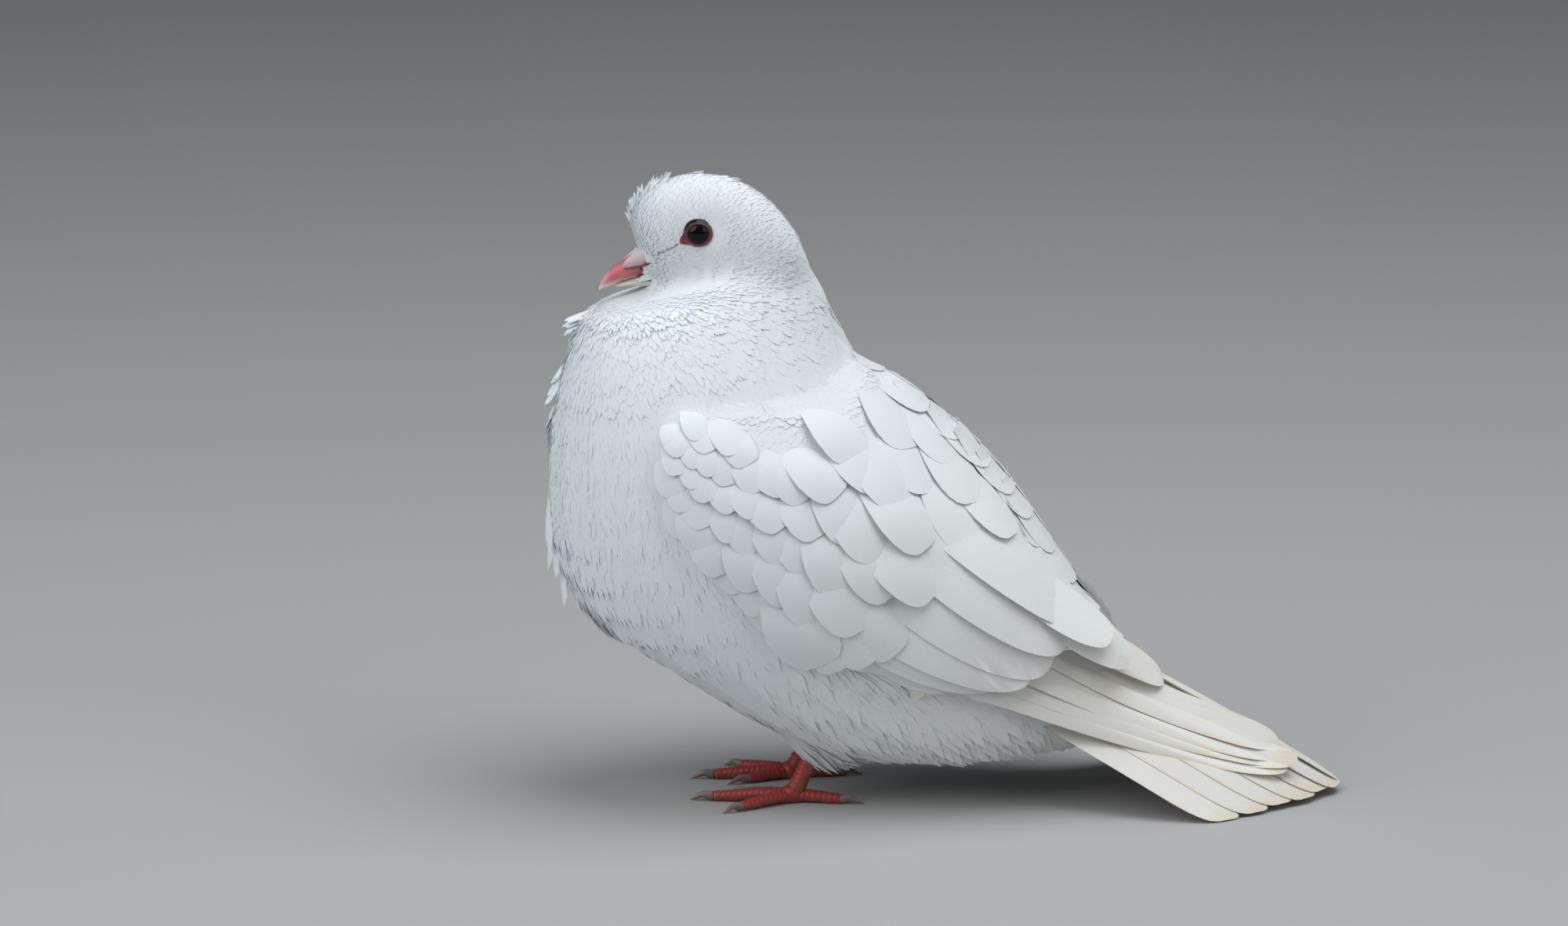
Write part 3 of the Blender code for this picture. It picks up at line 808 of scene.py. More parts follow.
# %% The tree that grows a coat
PATCH = 0.003  # size of a small feather's place on the baked map
CROWDING = 2.2  # feathers tried on each square of the spacing
LIFT_SPAN = (0.7, 1.35)  # each feather's random share of the lift, and below its share of the length
LENGTH_SPAN = (0.85, 1.2)
ROLL, PITCH, YAW = (-0.5, 0.5), (-0.12, 0.25), (-0.75, 0.75)  # random turns in radians, at full ruffle
TREE_INPUTS = (
    ("Skin", "NodeSocketGeometry"),
    ("Feathers", "NodeSocketCollection"),
    ("Cover", "NodeSocketString"),
    ("Spacing", "NodeSocketFloat"),
    ("Lengthen", "NodeSocketFloat"),
    ("Softness", "NodeSocketFloat"),
    ("Ruffle", "NodeSocketFloat"),
    ("Finish", "NodeSocketMaterial"),
    ("Seed", "NodeSocketInt"),
)


def coat_tree():
    tree = bpy.data.node_groups.new("coat", "GeometryNodeTree")
    for name, kind in TREE_INPUTS:
        tree.interface.new_socket(name, in_out="INPUT", socket_type=kind)
    tree.interface.new_socket("Coat", in_out="OUTPUT", socket_type="NodeSocketGeometry")
    start = Wire(tree)
    entry = tree.nodes.new("NodeGroupInput")
    given = {name: Wire(tree, entry.outputs[name]) for name, _ in TREE_INPUTS}

    def field(name, kind="FLOAT"):
        return start.node("GeometryNodeInputNamedAttribute", {"data_type": kind}, {"Name": name})

    def vector(name):
        return field(name, "FLOAT_VECTOR")

    def random(span, salt):
        inputs = {2: span[0], 3: span[1], "Seed": given["Seed"] + salt}
        return start.node("FunctionNodeRandomValue", {"data_type": "FLOAT"}, inputs, 1)

    scatter = {
        "Mesh": given["Skin"],
        "Distance Min": given["Spacing"],
        "Density Max": given["Spacing"] ** -2.0 * CROWDING,
        "Density Factor": field(given["Cover"]),
        "Seed": given["Seed"],
    }
    points = start.node("GeometryNodeDistributePointsOnFaces", {"distribute_method": "POISSON"}, scatter)
    normal = Wire(tree, points.socket.node.outputs["Normal"])
    store = {"Geometry": points, "Name": "skin_normal", "Value": normal}
    marked = start.node("GeometryNodeStoreNamedAttribute", {"data_type": "FLOAT_VECTOR"}, store)
    lying = {"Primary Axis": vector("skin_normal"), "Secondary Axis": vector("flow")}
    turn = start.node("FunctionNodeAxesToRotation", inputs=lying)
    swing = given["Ruffle"] * field("ruffle")
    raised = 0.0 - field("lift") * random(LIFT_SPAN, 1) - swing * random(PITCH, 2)
    turns = {0: swing * random(ROLL, 3), 1: raised, 2: swing * random(YAW, 4)}
    euler = start.node("ShaderNodeCombineXYZ", inputs=turns)
    jitter = start.node("FunctionNodeEulerToRotation", inputs={0: euler})
    turn = start.node("FunctionNodeRotateRotation", {"rotation_space": "LOCAL"}, {0: turn, 1: jitter})
    shapes = {"Collection": given["Feathers"], "Separate Children": True, "Reset Children": True}
    planted = {
        "Points": marked,
        "Instance": start.node("GeometryNodeCollectionInfo", inputs=shapes),
        "Pick Instance": True,
        "Instance Index": random((0.0, VARIANTS - 0.01), 5),
        "Rotation": turn,
        "Scale": field("length") * given["Lengthen"] * random(LENGTH_SPAN, 6),
    }
    coat = start.node("GeometryNodeInstanceOnPoints", inputs=planted)
    coat = start.node("GeometryNodeRealizeInstances", inputs={"Geometry": coat})
    patch = start.node("ShaderNodeVectorMath", {"operation": "SCALE"}, {0: vector("Vane"), 3: PATCH})
    spot = start.node("ShaderNodeVectorMath", {"operation": "ADD"}, {0: patch, 1: vector("OFBake")})
    store = {"Geometry": coat, "Name": "OFBake", "Value": spot}
    coat = start.node("GeometryNodeStoreNamedAttribute", {"data_type": "FLOAT2", "domain": "CORNER"}, store)
    lean = {
        0: given["Softness"] * field("upper"),
        4: start.node("GeometryNodeInputNormal"),
        5: vector("skin_normal"),
    }
    leaned = start.node("ShaderNodeMix", {"data_type": "VECTOR"}, lean, 1)
    normals = {"Mesh": coat, "Custom Normal": leaned}
    coat = start.node("GeometryNodeSetMeshNormal", {"mode": "FREE", "domain": "CORNER"}, normals)
    coat = start.node("GeometryNodeSetMaterial", inputs={"Geometry": coat, "Material": given["Finish"]})
    last = tree.nodes.new("NodeGroupOutput")
    tree.links.new(coat.socket, last.inputs["Coat"])
    return tree


COAT_TREE = coat_tree()
print("The coat's tree has", len(COAT_TREE.nodes), "nodes")

# %% Grow the coat
KEPT = {"position", "Vane", "OFBake", "custom_normal", "material_index", "sharp_edge", "sharp_face"}
COAT = {  # cover field, kind of feather, spacing in mm, lengthening, softness, ruffle
    "coat_head": ("in_head", "face", 0.52, 1.15, 0.9, 0.16),
    "coat_neck": ("in_neck", "neck", 0.85, 1.15, 0.95, 0.34),
    "coat_breast": ("in_breast", "combed", 0.85, 1.3, 0.88, 0.07),
    "coat_belly": ("in_belly", "downy", 1.0, 1.25, 0.95, 0.12),
    "coat_back": ("in_back", "smooth", 1.15, 0.72, 1.0, 0.05),
}


def finish_piece(name, mesh, slot, *replaced):
    """Stands a finished mesh in the scene, hung on the bird's one body."""
    piece = add_object(name, mesh)
    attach(piece, BODY)
    if replaced:
        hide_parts(*replaced)


def drop_fields(mesh):
    """Leaves the mesh its shape and its maps, without the fields that only the tree reads."""
    for name in [attribute.name for attribute in mesh.attributes]:
        if name not in KEPT and not name.startswith("."):
            mesh.attributes.remove(mesh.attributes[name])


def grow(name, **values):
    """The tree worked on the skin, as a new plain mesh."""
    draft = add_object(f"{name}_draft", skin_mesh)
    modifier = draft.modifiers.new("tree", "NODES")
    modifier.node_group = COAT_TREE
    for item in COAT_TREE.interface.items_tree:
        if item.name in values:
            modifier[item.identifier] = values[item.name]
    mesh = plain_mesh(draft, name)
    drop_fields(mesh)
    return mesh


for seed, (name, (cover, kind, spacing, lengthen, softness, ruffle)) in enumerate(COAT.items()):
    coat = grow(name, Feathers=FEATHERS[kind], Cover=cover, Spacing=spacing * MM, Lengthen=lengthen,
                Softness=softness, Ruffle=ruffle, Finish=PLUMAGE, Seed=seed)
    finish_piece(name, coat, "plumage")
    print(f"{name}: {sum(p.loop_total - 2 for p in coat.polygons)} triangles")

bare_skin = skin_mesh.copy()
drop_fields(bare_skin)
bare_skin.materials.clear()
bare_skin.materials.append(DOWN)
finish_piece("skin", bare_skin, "plumage", *FLESH)

# %% [markdown]
# ## Larger feathers, laid one by one
# On the wing the feathers are big enough to be seen as single scales and blades. A stiff copy would stand off
# the curved body, so each one is laid on it: its shaft runs from root to tip, every point is dropped onto the
# surface below, and then raised again by the feather's own arch and by how high it lies in the stack. A point
# that hangs over the wing's edge, with nothing near below, keeps its place in the air.

# %% Laying a feather
SAG_AT = 0.55  # where along the feather its bow is measured
SAG_SHARE = 0.10  # how far a feather's middle may bow to follow the body, as a share of its length
NORMALS_AT = (0.3, 0.8)  # where along the feather the surface's normals are taken
BEYOND = (-0.2, 1.2)  # how far past those two places they go on turning
DIP_START = 0.72
LEAN = 0.2  # how far the large feathers' normals are leaned towards the skin's


def lay_feather(shape, root, tip, surface, rise, bend=0.0, roll=0.0, normals=None, dip=0.0):
    """The shape with its points in the frame. rise is its height over the surface in mm at root and tip, roll
    how much its lower edge is lifted over the next feather, and dip by how much its end sinks in again."""
    points, faces, vane, upper = shape
    root, tip = np.array(root), np.array(tip)
    length = np.linalg.norm(tip - root)
    ahead = (tip - root) / length
    middle = root + ahead * SAG_AT * length
    found, face = surface.find_nearest(Vector(middle))[:2]
    sag = np.clip(np.dot(np.array(found) - middle, np.array(face)) / length, -SAG_SHARE, SAG_SHARE)
    if normals is None:
        normals = [SKIN_TREE.find_nearest(Vector(root + ahead * share * length))[1] for share in NORMALS_AT]
    near, far = np.array(normals[0]), np.array(normals[1])
    laid = np.empty_like(points)
    for i, (x, y, z) in enumerate(points):
        up = near + (far - near) * np.clip((x - NORMALS_AT[0]) / (NORMALS_AT[1] - NORMALS_AT[0]), *BEYOND)
        up -= ahead * np.dot(up, ahead)
        up /= np.linalg.norm(up)
        across = np.cross(up, ahead)
        height = z - roll * y + sag * 4 * x * (1 - x) + (rise[0] + (rise[1] - rise[0]) * x) * MM / length
        height -= dip * max(0.0, (x - DIP_START) / (1 - DIP_START)) ** 2 * MM / length
        laid[i] = root + (ahead * x + across * (y + bend * x * (1 - x)) + up * height) * length
    return laid, faces, vane, upper


def mirror_shape(points, faces, vane, upper):
    """The same feather on the other side of the body."""
    return points * np.array((1, -1, 1)), [face[::-1] for face in faces], vane, upper


def join_feathers(name, feathers, finish, slot, baked, *replaced):
    """Many laid feathers as one mesh, mirrored where it is the right side's. baked gives each feather's
    corner and size on the baked map."""
    if name.endswith("_right"):
        feathers = [mirror_shape(*shape) for shape in feathers]
    points = np.vstack([shape[0] for shape in feathers])
    starts = np.cumsum([0] + [len(shape[0]) for shape in feathers])
    faces = [tuple(i + start for i in face) for shape, start in zip(feathers, starts) for face in shape[1]]
    vane = np.vstack([shape[2] for shape in feathers])
    upper = np.concatenate([shape[3] for shape in feathers])
    mesh = feather_mesh(name, (points, faces, vane, upper))
    corners = corner_points(mesh)
    normals = read(mesh.corner_normals, "vector", 3)
    top = np.repeat(upper, corner_counts(mesh))
    under = {i: SKIN_TREE.find_nearest(Vector(points[i]))[1] for i in set(corners[top])}
    normals[top] = normals[top] * (1 - LEAN) + np.array([under[i] for i in corners[top]]) * LEAN
    mesh.normals_split_custom_set((normals / np.linalg.norm(normals, axis=1, keepdims=True)).tolist())
    patch = np.vstack([corner + shape[2] * size for shape, (corner, size) in zip(feathers, baked)])
    add_map(mesh, "OFBake", patch[corners])
    mesh.attributes.remove(mesh.attributes["upper"])
    mesh.materials.append(finish)
    print(name, "has", len(feathers), "feathers and", sum(len(face) - 2 for face in faces), "triangles")
    finish_piece(name, mesh, slot, *replaced)


# %% Places on the baked map, and on the wing
COVERT_PATCH = 0.006
SHEET_MARGIN = 0.003
SHEET_FILL = 0.94  # share of its cell that a feather fills
WING_SIDE = -42.0  # y of the wing's outer face
OUTSIDE = -90.0  # y of a place well outside the bird's left side

SKIN_TREE = search_tree(skin_mesh)
SKIN_MAP = read(skin_mesh.uv_layers["OFBake"].data, "uv", 2)
WING_TREE = solid_tree("wing_left")
BLADE_TREE = solid_tree("primaries_left")


def sheet_cells(count):
    """A place of its own on the map for each of a few large feathers."""
    rows = math.ceil(math.sqrt(count / 3))
    columns = math.ceil(count / rows)
    size = np.array((1 / columns, 1 / rows)) * SHEET_FILL
    corners = [np.array((i % columns / columns, i // columns / rows)) for i in range(count)]
    return [(corner + SHEET_MARGIN, size) for corner in corners]


def root_cells(roots):
    """A small patch for each feather at its root's place on the skin's own map."""
    cells = []
    for root in roots:
        face = SKIN_TREE.find_nearest(Vector(root))[2]
        loops = skin_mesh.polygons[face].loop_indices
        cells.append((SKIN_MAP[list(loops)].mean(axis=0), COVERT_PATCH))
    return cells


def wing_hit(x, z):
    """The point and normal of the left wing's outer face at that place of the side view, or None twice."""
    return WING_TREE.ray_cast(place(x, OUTSIDE, z), Vector((0, 1, 0)))[:2]


def on_wing(x, z, y=None):
    """As wing_hit, but beside the wing, or where y is given, the wing's nearest point."""
    found, normal = wing_hit(x, z) if y is None else (None, None)
    if found is None:
        found, normal = WING_TREE.find_nearest(place(x, WING_SIDE if y is None else y, z))[:2]
    return found, normal


print("The wing's face at the wrist is at", on_wing(-30.0, 120.0)[0])

# %% [markdown]
# The large feathers' finishes share one recipe. Barb lines and a low relief run along each vane, the shaft is
# a shade more tan, painted shade darkens the part near the root, and the tip turns cream. The flight feathers
# have a creamier white of their own, and turn cream along both edges too.

# %% Finish of the large feathers
FLIGHT_WHITE = (0.83, 0.81, 0.755)
TIP_CREAM = (0.76, 0.60, 0.33)
SHAFT_TAN = (0.74, 0.66, 0.52)
VANE_SLANT = 0.45


def make_vane_finish(name, barbs, tip, tip_start, shaft_tint, white=None):
    """Barb lines, a slightly tan shaft and a cream tip; with a white of its own, cream edges as well."""
    material, shader, start = new_finish(name, 0.7, Sheen_Weight=0.12, Sheen_Roughness=0.5)
    along, from_shaft, lines = barb_lines(start, barbs, VANE_SLANT)
    cream_noise = noise(object_spot(start), 90.0, 3.0)
    # The tip turns cream, with a ragged border.
    cream_tip = ((along - tip_start) * 7.0 + (cream_noise - 0.5) * 1.2).clamped()
    shaft = (1.0 - from_shaft * 42.0).clamped()
    # Painted shade: near the root, where each feather slips under its neighbour, the colour darkens towards
    # ROOT_SHADE.
    root = (along * 3.0 + 0.1).clamped()
    colour = blend(root, ROOT_SHADE, blend(cream_tip * 0.85, white or body_white(start), tip))
    if white:
        # Both edges turn cream, with a ragged border.
        edge = ((from_shaft - 0.40) * 9.0 + (cream_noise - 0.5) * 1.5).clamped()
        colour = blend(edge * 0.5, colour, tip)
    connect(blend(shaft * shaft_tint, colour, SHAFT_TAN), shader, "Base Color")
    add_relief(shader, lines + shaft * 2.0, 0.14, 0.00012)
    return material


COVERT = make_vane_finish("covert_vane", 60.0, WARM_WHITE, 0.95, 0.04)
TERTIAL = make_vane_finish("tertial_vane", 70.0, CREAM, 0.93, 0.04)
FLIGHT = make_vane_finish("flight_vane", 90.0, TIP_CREAM, 0.93, 0.25, FLIGHT_WHITE)
print("Finishes:", COVERT.name, TERTIAL.name, FLIGHT.name)

# %% [markdown]
# ## Wing coverts
# The coverts roof the folded wing like round shingles, tiny at the wrist and larger the further they lie from
# it. So they are set out on rings round the wrist, each ring further off than the last by a share of its
# radius, and the size follows the radius. Their tips point down at the wing's front edge and swing backwards
# along it.

# %% Coverts on rings round the wrist
WRIST = (-44.0, 139.0)  # x z
WRIST_ANGLES = (math.radians(-86), math.radians(17))
COVERT_RATIO = 0.135  # exposed size against the distance from the wrist
SMALLEST_COVERT = 3.2
FIRST_RING = 9.5
LAST_RING = 128.0
RING_STEP = 0.74
SIDE_STEP = 0.98
SCATTER = 0.12  # how far a covert may stray from its place, as a share of its size
TIP_HEADING = math.radians(-36)  # where a tip points at angle 0
TIP_SWING = 0.52  # how much it turns with the angle
HEADING_SPREAD = 0.09
COVERT_LENGTH = (1.65, 1.85)  # against the exposed size
OPEN_ANGLES = (0.05, 0.4)  # over this ramp below the level, coverts begin to stand open


def covert_rings(rng):
    """Tip x and z, heading, length and how open it stands, for each covert of the left wing."""
    low, high = WRIST_ANGLES
    ring, radius = 0, FIRST_RING
    while radius < LAST_RING:
        size = SMALLEST_COVERT + COVERT_RATIO * radius
        count = max(3, round(radius * (high - low) / (size * SIDE_STEP)))
        for i in range(count + 1):
            angle = low + (high - low) * (i + 0.5 * (ring % 2)) / count
            angle += rng.uniform(-SCATTER, SCATTER) * size / radius
            reach = radius + rng.uniform(-SCATTER, SCATTER) * size
            x, z = WRIST[0] + reach * math.cos(angle), WRIST[1] + reach * math.sin(angle)
            heading = TIP_HEADING + TIP_SWING * angle + rng.normal(0, HEADING_SPREAD)
            yield x, z, heading, size * rng.uniform(*COVERT_LENGTH), smooth(-angle, *OPEN_ANGLES)
        radius += size * RING_STEP
        ring += 1


# %% Lay the coverts
EDGE_TURN = 0.25  # a normal that looks less to the side than this is past the wing's edge
SHOULDER_FACE = 0.49  # one that looks up or ahead more than this belongs to the small feathers
TOP_COVERT = 125.0  # as does all above this
INNER_FEATHERS = (16.0, 38.0, 0.55)  # longer ones lie behind this x, under this height, which rises with x
COVERT_RISE = 0.9
TOP_DIP = 0.5  # mm by which the upper coverts lie lower
DIP_RAMP = (114.0, 127.0)


def bare_of_coverts(x, z):
    """Whether a covert there would lie on the shoulder, on the wing's longer feathers or in the air."""
    found, side = wing_hit(x, z)
    face = on_wing(x, z)[1]
    start, height, slope = INNER_FEATHERS
    on_shoulder = max(face.z, -face.x) > SHOULDER_FACE or z > TOP_COVERT
    return found is None or -side.y < EDGE_TURN or on_shoulder or (x > start and z < height + slope * x)


def make_coverts(side, seed):
    rng = np.random.default_rng(seed)
    feathers, roots = [], []
    for number, (x, z, heading, length, open_share) in enumerate(covert_rings(rng)):
        if bare_of_coverts(x, z):
            continue
        shape = feather(12, 0.72, steps=3, waist=0.56, point=0.5, root=0.5, fray=0.02, cup=0.17, arch=0.07,
                        thick=0.02, seed=seed * 1000 + number)
        root = on_wing(x - length * math.cos(heading), z - length * math.sin(heading))[0]
        lift = (COVERT_RISE + rng.uniform(-0.2, 0.4)) * (0.15 + 0.85 * open_share) * min(1.0, length / 10)
        lift -= TOP_DIP * smooth(z, *DIP_RAMP)
        feathers.append(lay_feather(shape, root, on_wing(x, z)[0], WING_TREE, (-1.8, lift), roll=0.15))
        roots.append(root)
    join_feathers(f"wing_coverts_{side}", feathers, COVERT, "plumage", root_cells(roots))


for side, seed in (("left", 11), ("right", 12)):
    make_coverts(side, seed)

# %% [markdown]
# ## Scapulars, tertials, greater coverts and secondaries
# These groups close the wing's outline. Each is a short list of where its feathers end and which way they
# point, because their order is the order of the stack: what comes later lies on what came before.

# %% The wing's large feathers
WING_GROUPS = {
    # settings, then each feather's tip x z, heading in degrees, length, width and height in the stack
    "secondaries": (
        dict(barbs=40, waist=0.72, point=0.6, root=0.35, fray=0.02, cup=0.10, arch=0.02, spine=0.002),
        [(44 + 3.2 * i, 38.6 + 1.5 * i, -31 + 1.0 * i, 62, 15, -1.6 + 0.42 * i) for i in range(6)],
    ),
    "greater_coverts": (
        dict(barbs=16, waist=0.66, point=0.5, root=0.4, fray=0.03, cup=0.26, arch=0.03, spine=0.002),
        [
            (-19, 84.0, -70, 26, 13, 0.0),
            (-13, 75.5, -68, 30, 14, 0.2),
            (-6, 68.0, -66, 34, 15, 0.1),
            (1, 60.5, -64, 36, 16, 0.5),
            (9, 54.5, -62, 38, 16, 0.3),
            (18, 49.5, -60, 40, 18, 0.9),
            (27, 51.5, -55, 38, 17, 0.7),
            (35.5, 55.0, -48, 36, 18, 1.1),
        ],
    ),
    "tertials": (
        dict(barbs=40, waist=0.66, point=0.6, root=0.4, fray=0.02, cup=0.12, arch=0.03, spine=0.0015),
        [
            (110.5, 46.5, -37, 62, 16, -0.4),
            (104.0, 54.5, -39, 62, 19, 0.0),
            (70.0, 45.5, -17, 56, 20, 0.2),
            (79.0, 46.5, -22, 62, 22, 0.5),
            (85.0, 49.5, -27, 64, 24, 0.9),
            (89.5, 54.5, -32, 64, 24, 1.2),
            (92.0, 60.5, -37, 62, 24, 1.5),
        ],
    ),
    "scapulars": (
        dict(barbs=16, waist=0.6, point=0.6, root=0.45, fray=0.03, cup=0.14, arch=0.03, spine=0.0),
        [
            (44.0, 90.0, -66, 30, 21, 0.5),
            (55.0, 78.5, -70, 32, 24, 1.1),
            (60.0, 86.0, -58, 32, 22, 0.9),
            (72.0, 73.5, -52, 34, 22, 1.2),
            (83.0, 67.0, -46, 34, 20, 1.5),
            (95.0, 60.0, -40, 30, 17, 1.7),
            (46.0, 103.0, -60, 28, 20, 0.3),
            (60.0, 98.0, -54, 30, 20, 1.0),
            (72.0, 87.0, -50, 32, 19, 1.3),
            (40.0, 116.0, -56, 26, 18, 0.1),
            (53.0, 110.0, -52, 28, 18, 0.4),
        ],
    ),
}
RIDGE = (  # feathers along the middle of the back: tip x y z, length, width
    (47.0, -7.0, 126.5, 24, 17),
    (58.0, -7.0, 118.0, 24, 17),
    (67.0, -6.5, 108.5, 27, 18),
    (74.5, -6.0, 99.0, 28, 18),
    (80.0, -6.0, 90.5, 28, 17),
    (87.0, -6.0, 79.0, 29, 16),
    (92.5, -6.0, 68.0, 30, 15),
    (100.0, -6.5, 60.0, 30, 14),
)
RIDGE_LENGTH = 60.0  # mm of x over which the ridge's normals turn
RIDGE_NORMALS = ((0.30, -0.34, 0.89), (0.68, -0.30, 0.67))  # out of its front and of its middle and rear
SMALL_GROUPS = ("scapulars", "greater_coverts")  # with the coverts' finish and a patch at their root
FAR_DROP = 3.5  # mm by which the right wing's tip lies lower, tucked under the left one's edge
TERTIAL_DROP = 9.8  # and by which its long tertials do
LONG_TERTIAL = 100.0  # whose tips lie behind this x
VANE_THICKNESS = 0.35


def blend_rows(near, far, share):
    return np.array(near) + (np.array(far) - np.array(near)) * min(max(share, 0.0), 1.0)


def vane_shape(length, width, seed, settings):
    return feather(width=width / length, steps=3, thick=VANE_THICKNESS / length, seed=seed, **settings)


def group_feathers(rows, side, seed, settings):
    """The laid feathers of a group and their roots."""
    rng = np.random.default_rng(seed)
    feathers, roots = [], []
    for number, (x, z, heading, length, width, height) in enumerate(rows):
        turn = math.radians(heading + rng.normal(0, 1.0))
        root = on_wing(x - length * math.cos(turn), z - length * math.sin(turn))[0]
        found, normal = on_wing(x, z)
        far = side == "right" and x > LONG_TERTIAL
        tip = place(x, drawn(np.array(found)[None])[0][1], z - (TERTIAL_DROP if far else 0.0))
        shape = vane_shape(length, width, seed * 100 + number, settings)
        rise = (-2.2 + height * 0.4, 0.1 + height)
        normals = [normal] * 2 if far else None
        feathers.append(lay_feather(shape, root, tip, WING_TREE, rise, roll=0.07, normals=normals))
        roots.append(root)
    return feathers, roots


def ridge_feathers(seed, settings):
    """The same for the feathers along the middle of the back."""
    feathers, roots = [], []
    for number, (x, y, z, length, width) in enumerate(RIDGE):
        tip = on_wing(x, z, y)[0]
        before, after = RIDGE[max(number - 1, 0)][:3], RIDGE[min(number + 1, len(RIDGE) - 1)][:3]
        root = tip - (place(*after) - place(*before)).normalized() * length * MM
        shape = vane_shape(length, width, seed * 100 + 50 + number, settings)
        normals = [blend_rows(*RIDGE_NORMALS, (x - RIDGE[0][0]) / RIDGE_LENGTH)] * 2
        feathers.append(lay_feather(shape, root, tip, WING_TREE, (-1.6, 1.2), roll=0.08, normals=normals))
        roots.append(root)
    return feathers, roots


def make_wing_group(name, side, seed):
    settings, rows = WING_GROUPS[name]
    feathers, roots = group_feathers(rows, side, seed, settings)
    if name == "scapulars":
        more, more_roots = ridge_feathers(seed, settings)
        feathers += more
        roots += more_roots
    if name in SMALL_GROUPS:
        join_feathers(f"{name}_{side}", feathers, COVERT, "plumage", root_cells(roots))
    else:
        join_feathers(f"{name}_{side}", feathers, TERTIAL, "flight_feathers", sheet_cells(len(feathers)))


for name in WING_GROUPS:
    for side, seed in (("left", 21), ("right", 22)):
        make_wing_group(name, side, seed)

# %% [markdown]
# ## Primaries and tail
# The wing's tip is a closed fan of long blades, of which six show. The outermost is the longest and lies
# lowest, and each of the others lies on it a little higher, so that its lower edge shows as a thin line. The
# tail is a fan of twelve quills with the middle pair on top, resting on the floor.

# %% Primaries
PRIMARIES = (  # root and tip x y z, and width, from the lowest in the stack to the highest
    ((60.0, -41.0, 41.0), (164.3, -13.6, 11.8), 11.0),
    ((57.0, -41.5, 43.0), (160.8, -15.8, 9.6), 11.0),
    ((61.0, -39.2, 47.1), (161.0, -13.0, 12.2), 12.5),
    ((66.0, -36.9, 51.4), (160.0, -11.4, 13.6), 14.0),
    ((72.0, -31.0, 58.4), (158.5, -8.2, 16.2), 15.5),
    ((82.0, -28.0, 63.8), (121.0, -7.0, 37.6), 17.5),
)
BLADE_NORMALS = (  # out of the blade at its root and at its tip, for the outermost and the innermost
    ((0.19, -0.96, 0.16), (0.32, -0.72, 0.62)),
    ((0.34, -0.66, 0.66), (0.42, -0.42, 0.80)),
)
TIP_DIP = 0.9
DIPPED = 2  # the blades from this one on dip at their ends
BLADE_THICKNESS = 0.3


def make_primaries(side, seed):
    drop = FAR_DROP if side == "right" else 0.0
    feathers = []
    for i, (start, (x, y, z), width) in enumerate(PRIMARIES):
        root, tip = place(*start), place(x, y, z - drop)
        length = (tip - root).length / MM
        shape = feather(60, width / length, steps=3, waist=0.84, point=0.7, root=0.6, fray=0.015, cup=0.05,
                        arch=-0.012, spine=0.0008, thick=BLADE_THICKNESS / length, seed=seed + i)
        rise = (-1.2 + 0.2 * i, -0.2 + 0.22 * i)
        normals = [blend_rows(low, high, i / (len(PRIMARIES) - 1)) for low, high in zip(*BLADE_NORMALS)]
        dip = TIP_DIP if i >= DIPPED else 0.0
        feathers.append(lay_feather(shape, root, tip, BLADE_TREE, rise, -0.03, 0.03, normals, dip))
    cells = sheet_cells(len(feathers))
    join_feathers(f"primary_feathers_{side}", feathers, FLIGHT, "flight_feathers", cells, f"primaries_{side}")


for side, seed in (("left", 300), ("right", 330)):
    make_primaries(side, seed)

# %% Tail
QUILLS = 12
TAIL_MIDDLE = ((78.0, 0.0, 54.0), (177.5, 0.0, FLOOR + 0.9))
TAIL_OUTER = ((60.0, 16.0, 37.0), (136.5, 43.0, FLOOR + 0.6))
TAIL_BOW = 1.6
TAIL_ARCH = 2.2
QUILL_WIDTH = 17.0
QUILL_THICKNESS = 0.4
STACK = 0.42  # mm by which each quill lies over the next one outwards
FAN_FILL = 0.94  # share of the fan's half that the outermost quill's shaft reaches
ABOVE_FLOOR = 0.02


def tail_point(across, along):
    """A point of the fan, across from -1 to 1 and along from the root to the tip."""
    spread = abs(across) ** TAIL_BOW
    root, tip = [
        np.array((a[0] + (b[0] - a[0]) * spread, b[1] * across, a[2] + (b[2] - a[2]) * spread))
        for a, b in zip(TAIL_MIDDLE, TAIL_OUTER)
    ]
    point = root + (tip - root) * along
    point[2] += TAIL_ARCH * math.sin(math.pi * along)
    return point


def make_tail():
    rng = np.random.default_rng(5)
    feathers = []
    order = sorted(range(QUILLS), key=lambda i: -abs(i - (QUILLS - 1) / 2))
    for number, i in enumerate(order):
        across = (2 * i - (QUILLS - 1)) / (QUILLS - 1) * FAN_FILL
        reach = 1.0 + rng.uniform(-0.012, 0.008)
        length = np.linalg.norm(tail_point(across, 1) - tail_point(across, 0))
        shape = feather(70, QUILL_WIDTH / length, steps=4, waist=0.86, point=0.42, root=0.35, fray=0.045,
                        cup=0.05, arch=0.0, spine=0.0015, thick=QUILL_THICKNESS / length, seed=900 + i)
        level = (number // 2) * STACK
        laid = np.empty_like(shape[0])
        for k, (x, y, z) in enumerate(shape[0]):
            along = x * reach
            side = tail_point(across + 0.02, along) - tail_point(across - 0.02, along)
            side /= np.linalg.norm(side)
            up = np.cross(tail_point(across, along + 0.01) - tail_point(across, along - 0.01), side)
            up *= math.copysign(1 / np.linalg.norm(up), up[2])
            spot = tail_point(across, along) + side * y * length + up * (z * length + level)
            spot[2] = max(spot[2], FLOOR + ABOVE_FLOOR + 0.3 * level + max(z, 0) * length)
            laid[k] = spot * MM + ORIGIN
        feathers.append((laid, *shape[1:]))
    join_feathers("tail_feathers", feathers, FLIGHT, "flight_feathers", sheet_cells(QUILLS), "tail")


make_tail()

# %% [markdown]
# Between the folded wings lies a channel that ends over the tail's root. A row of rounded feathers roofs it,
# each over the next like tiles, with a pair beside it where the channel widens.

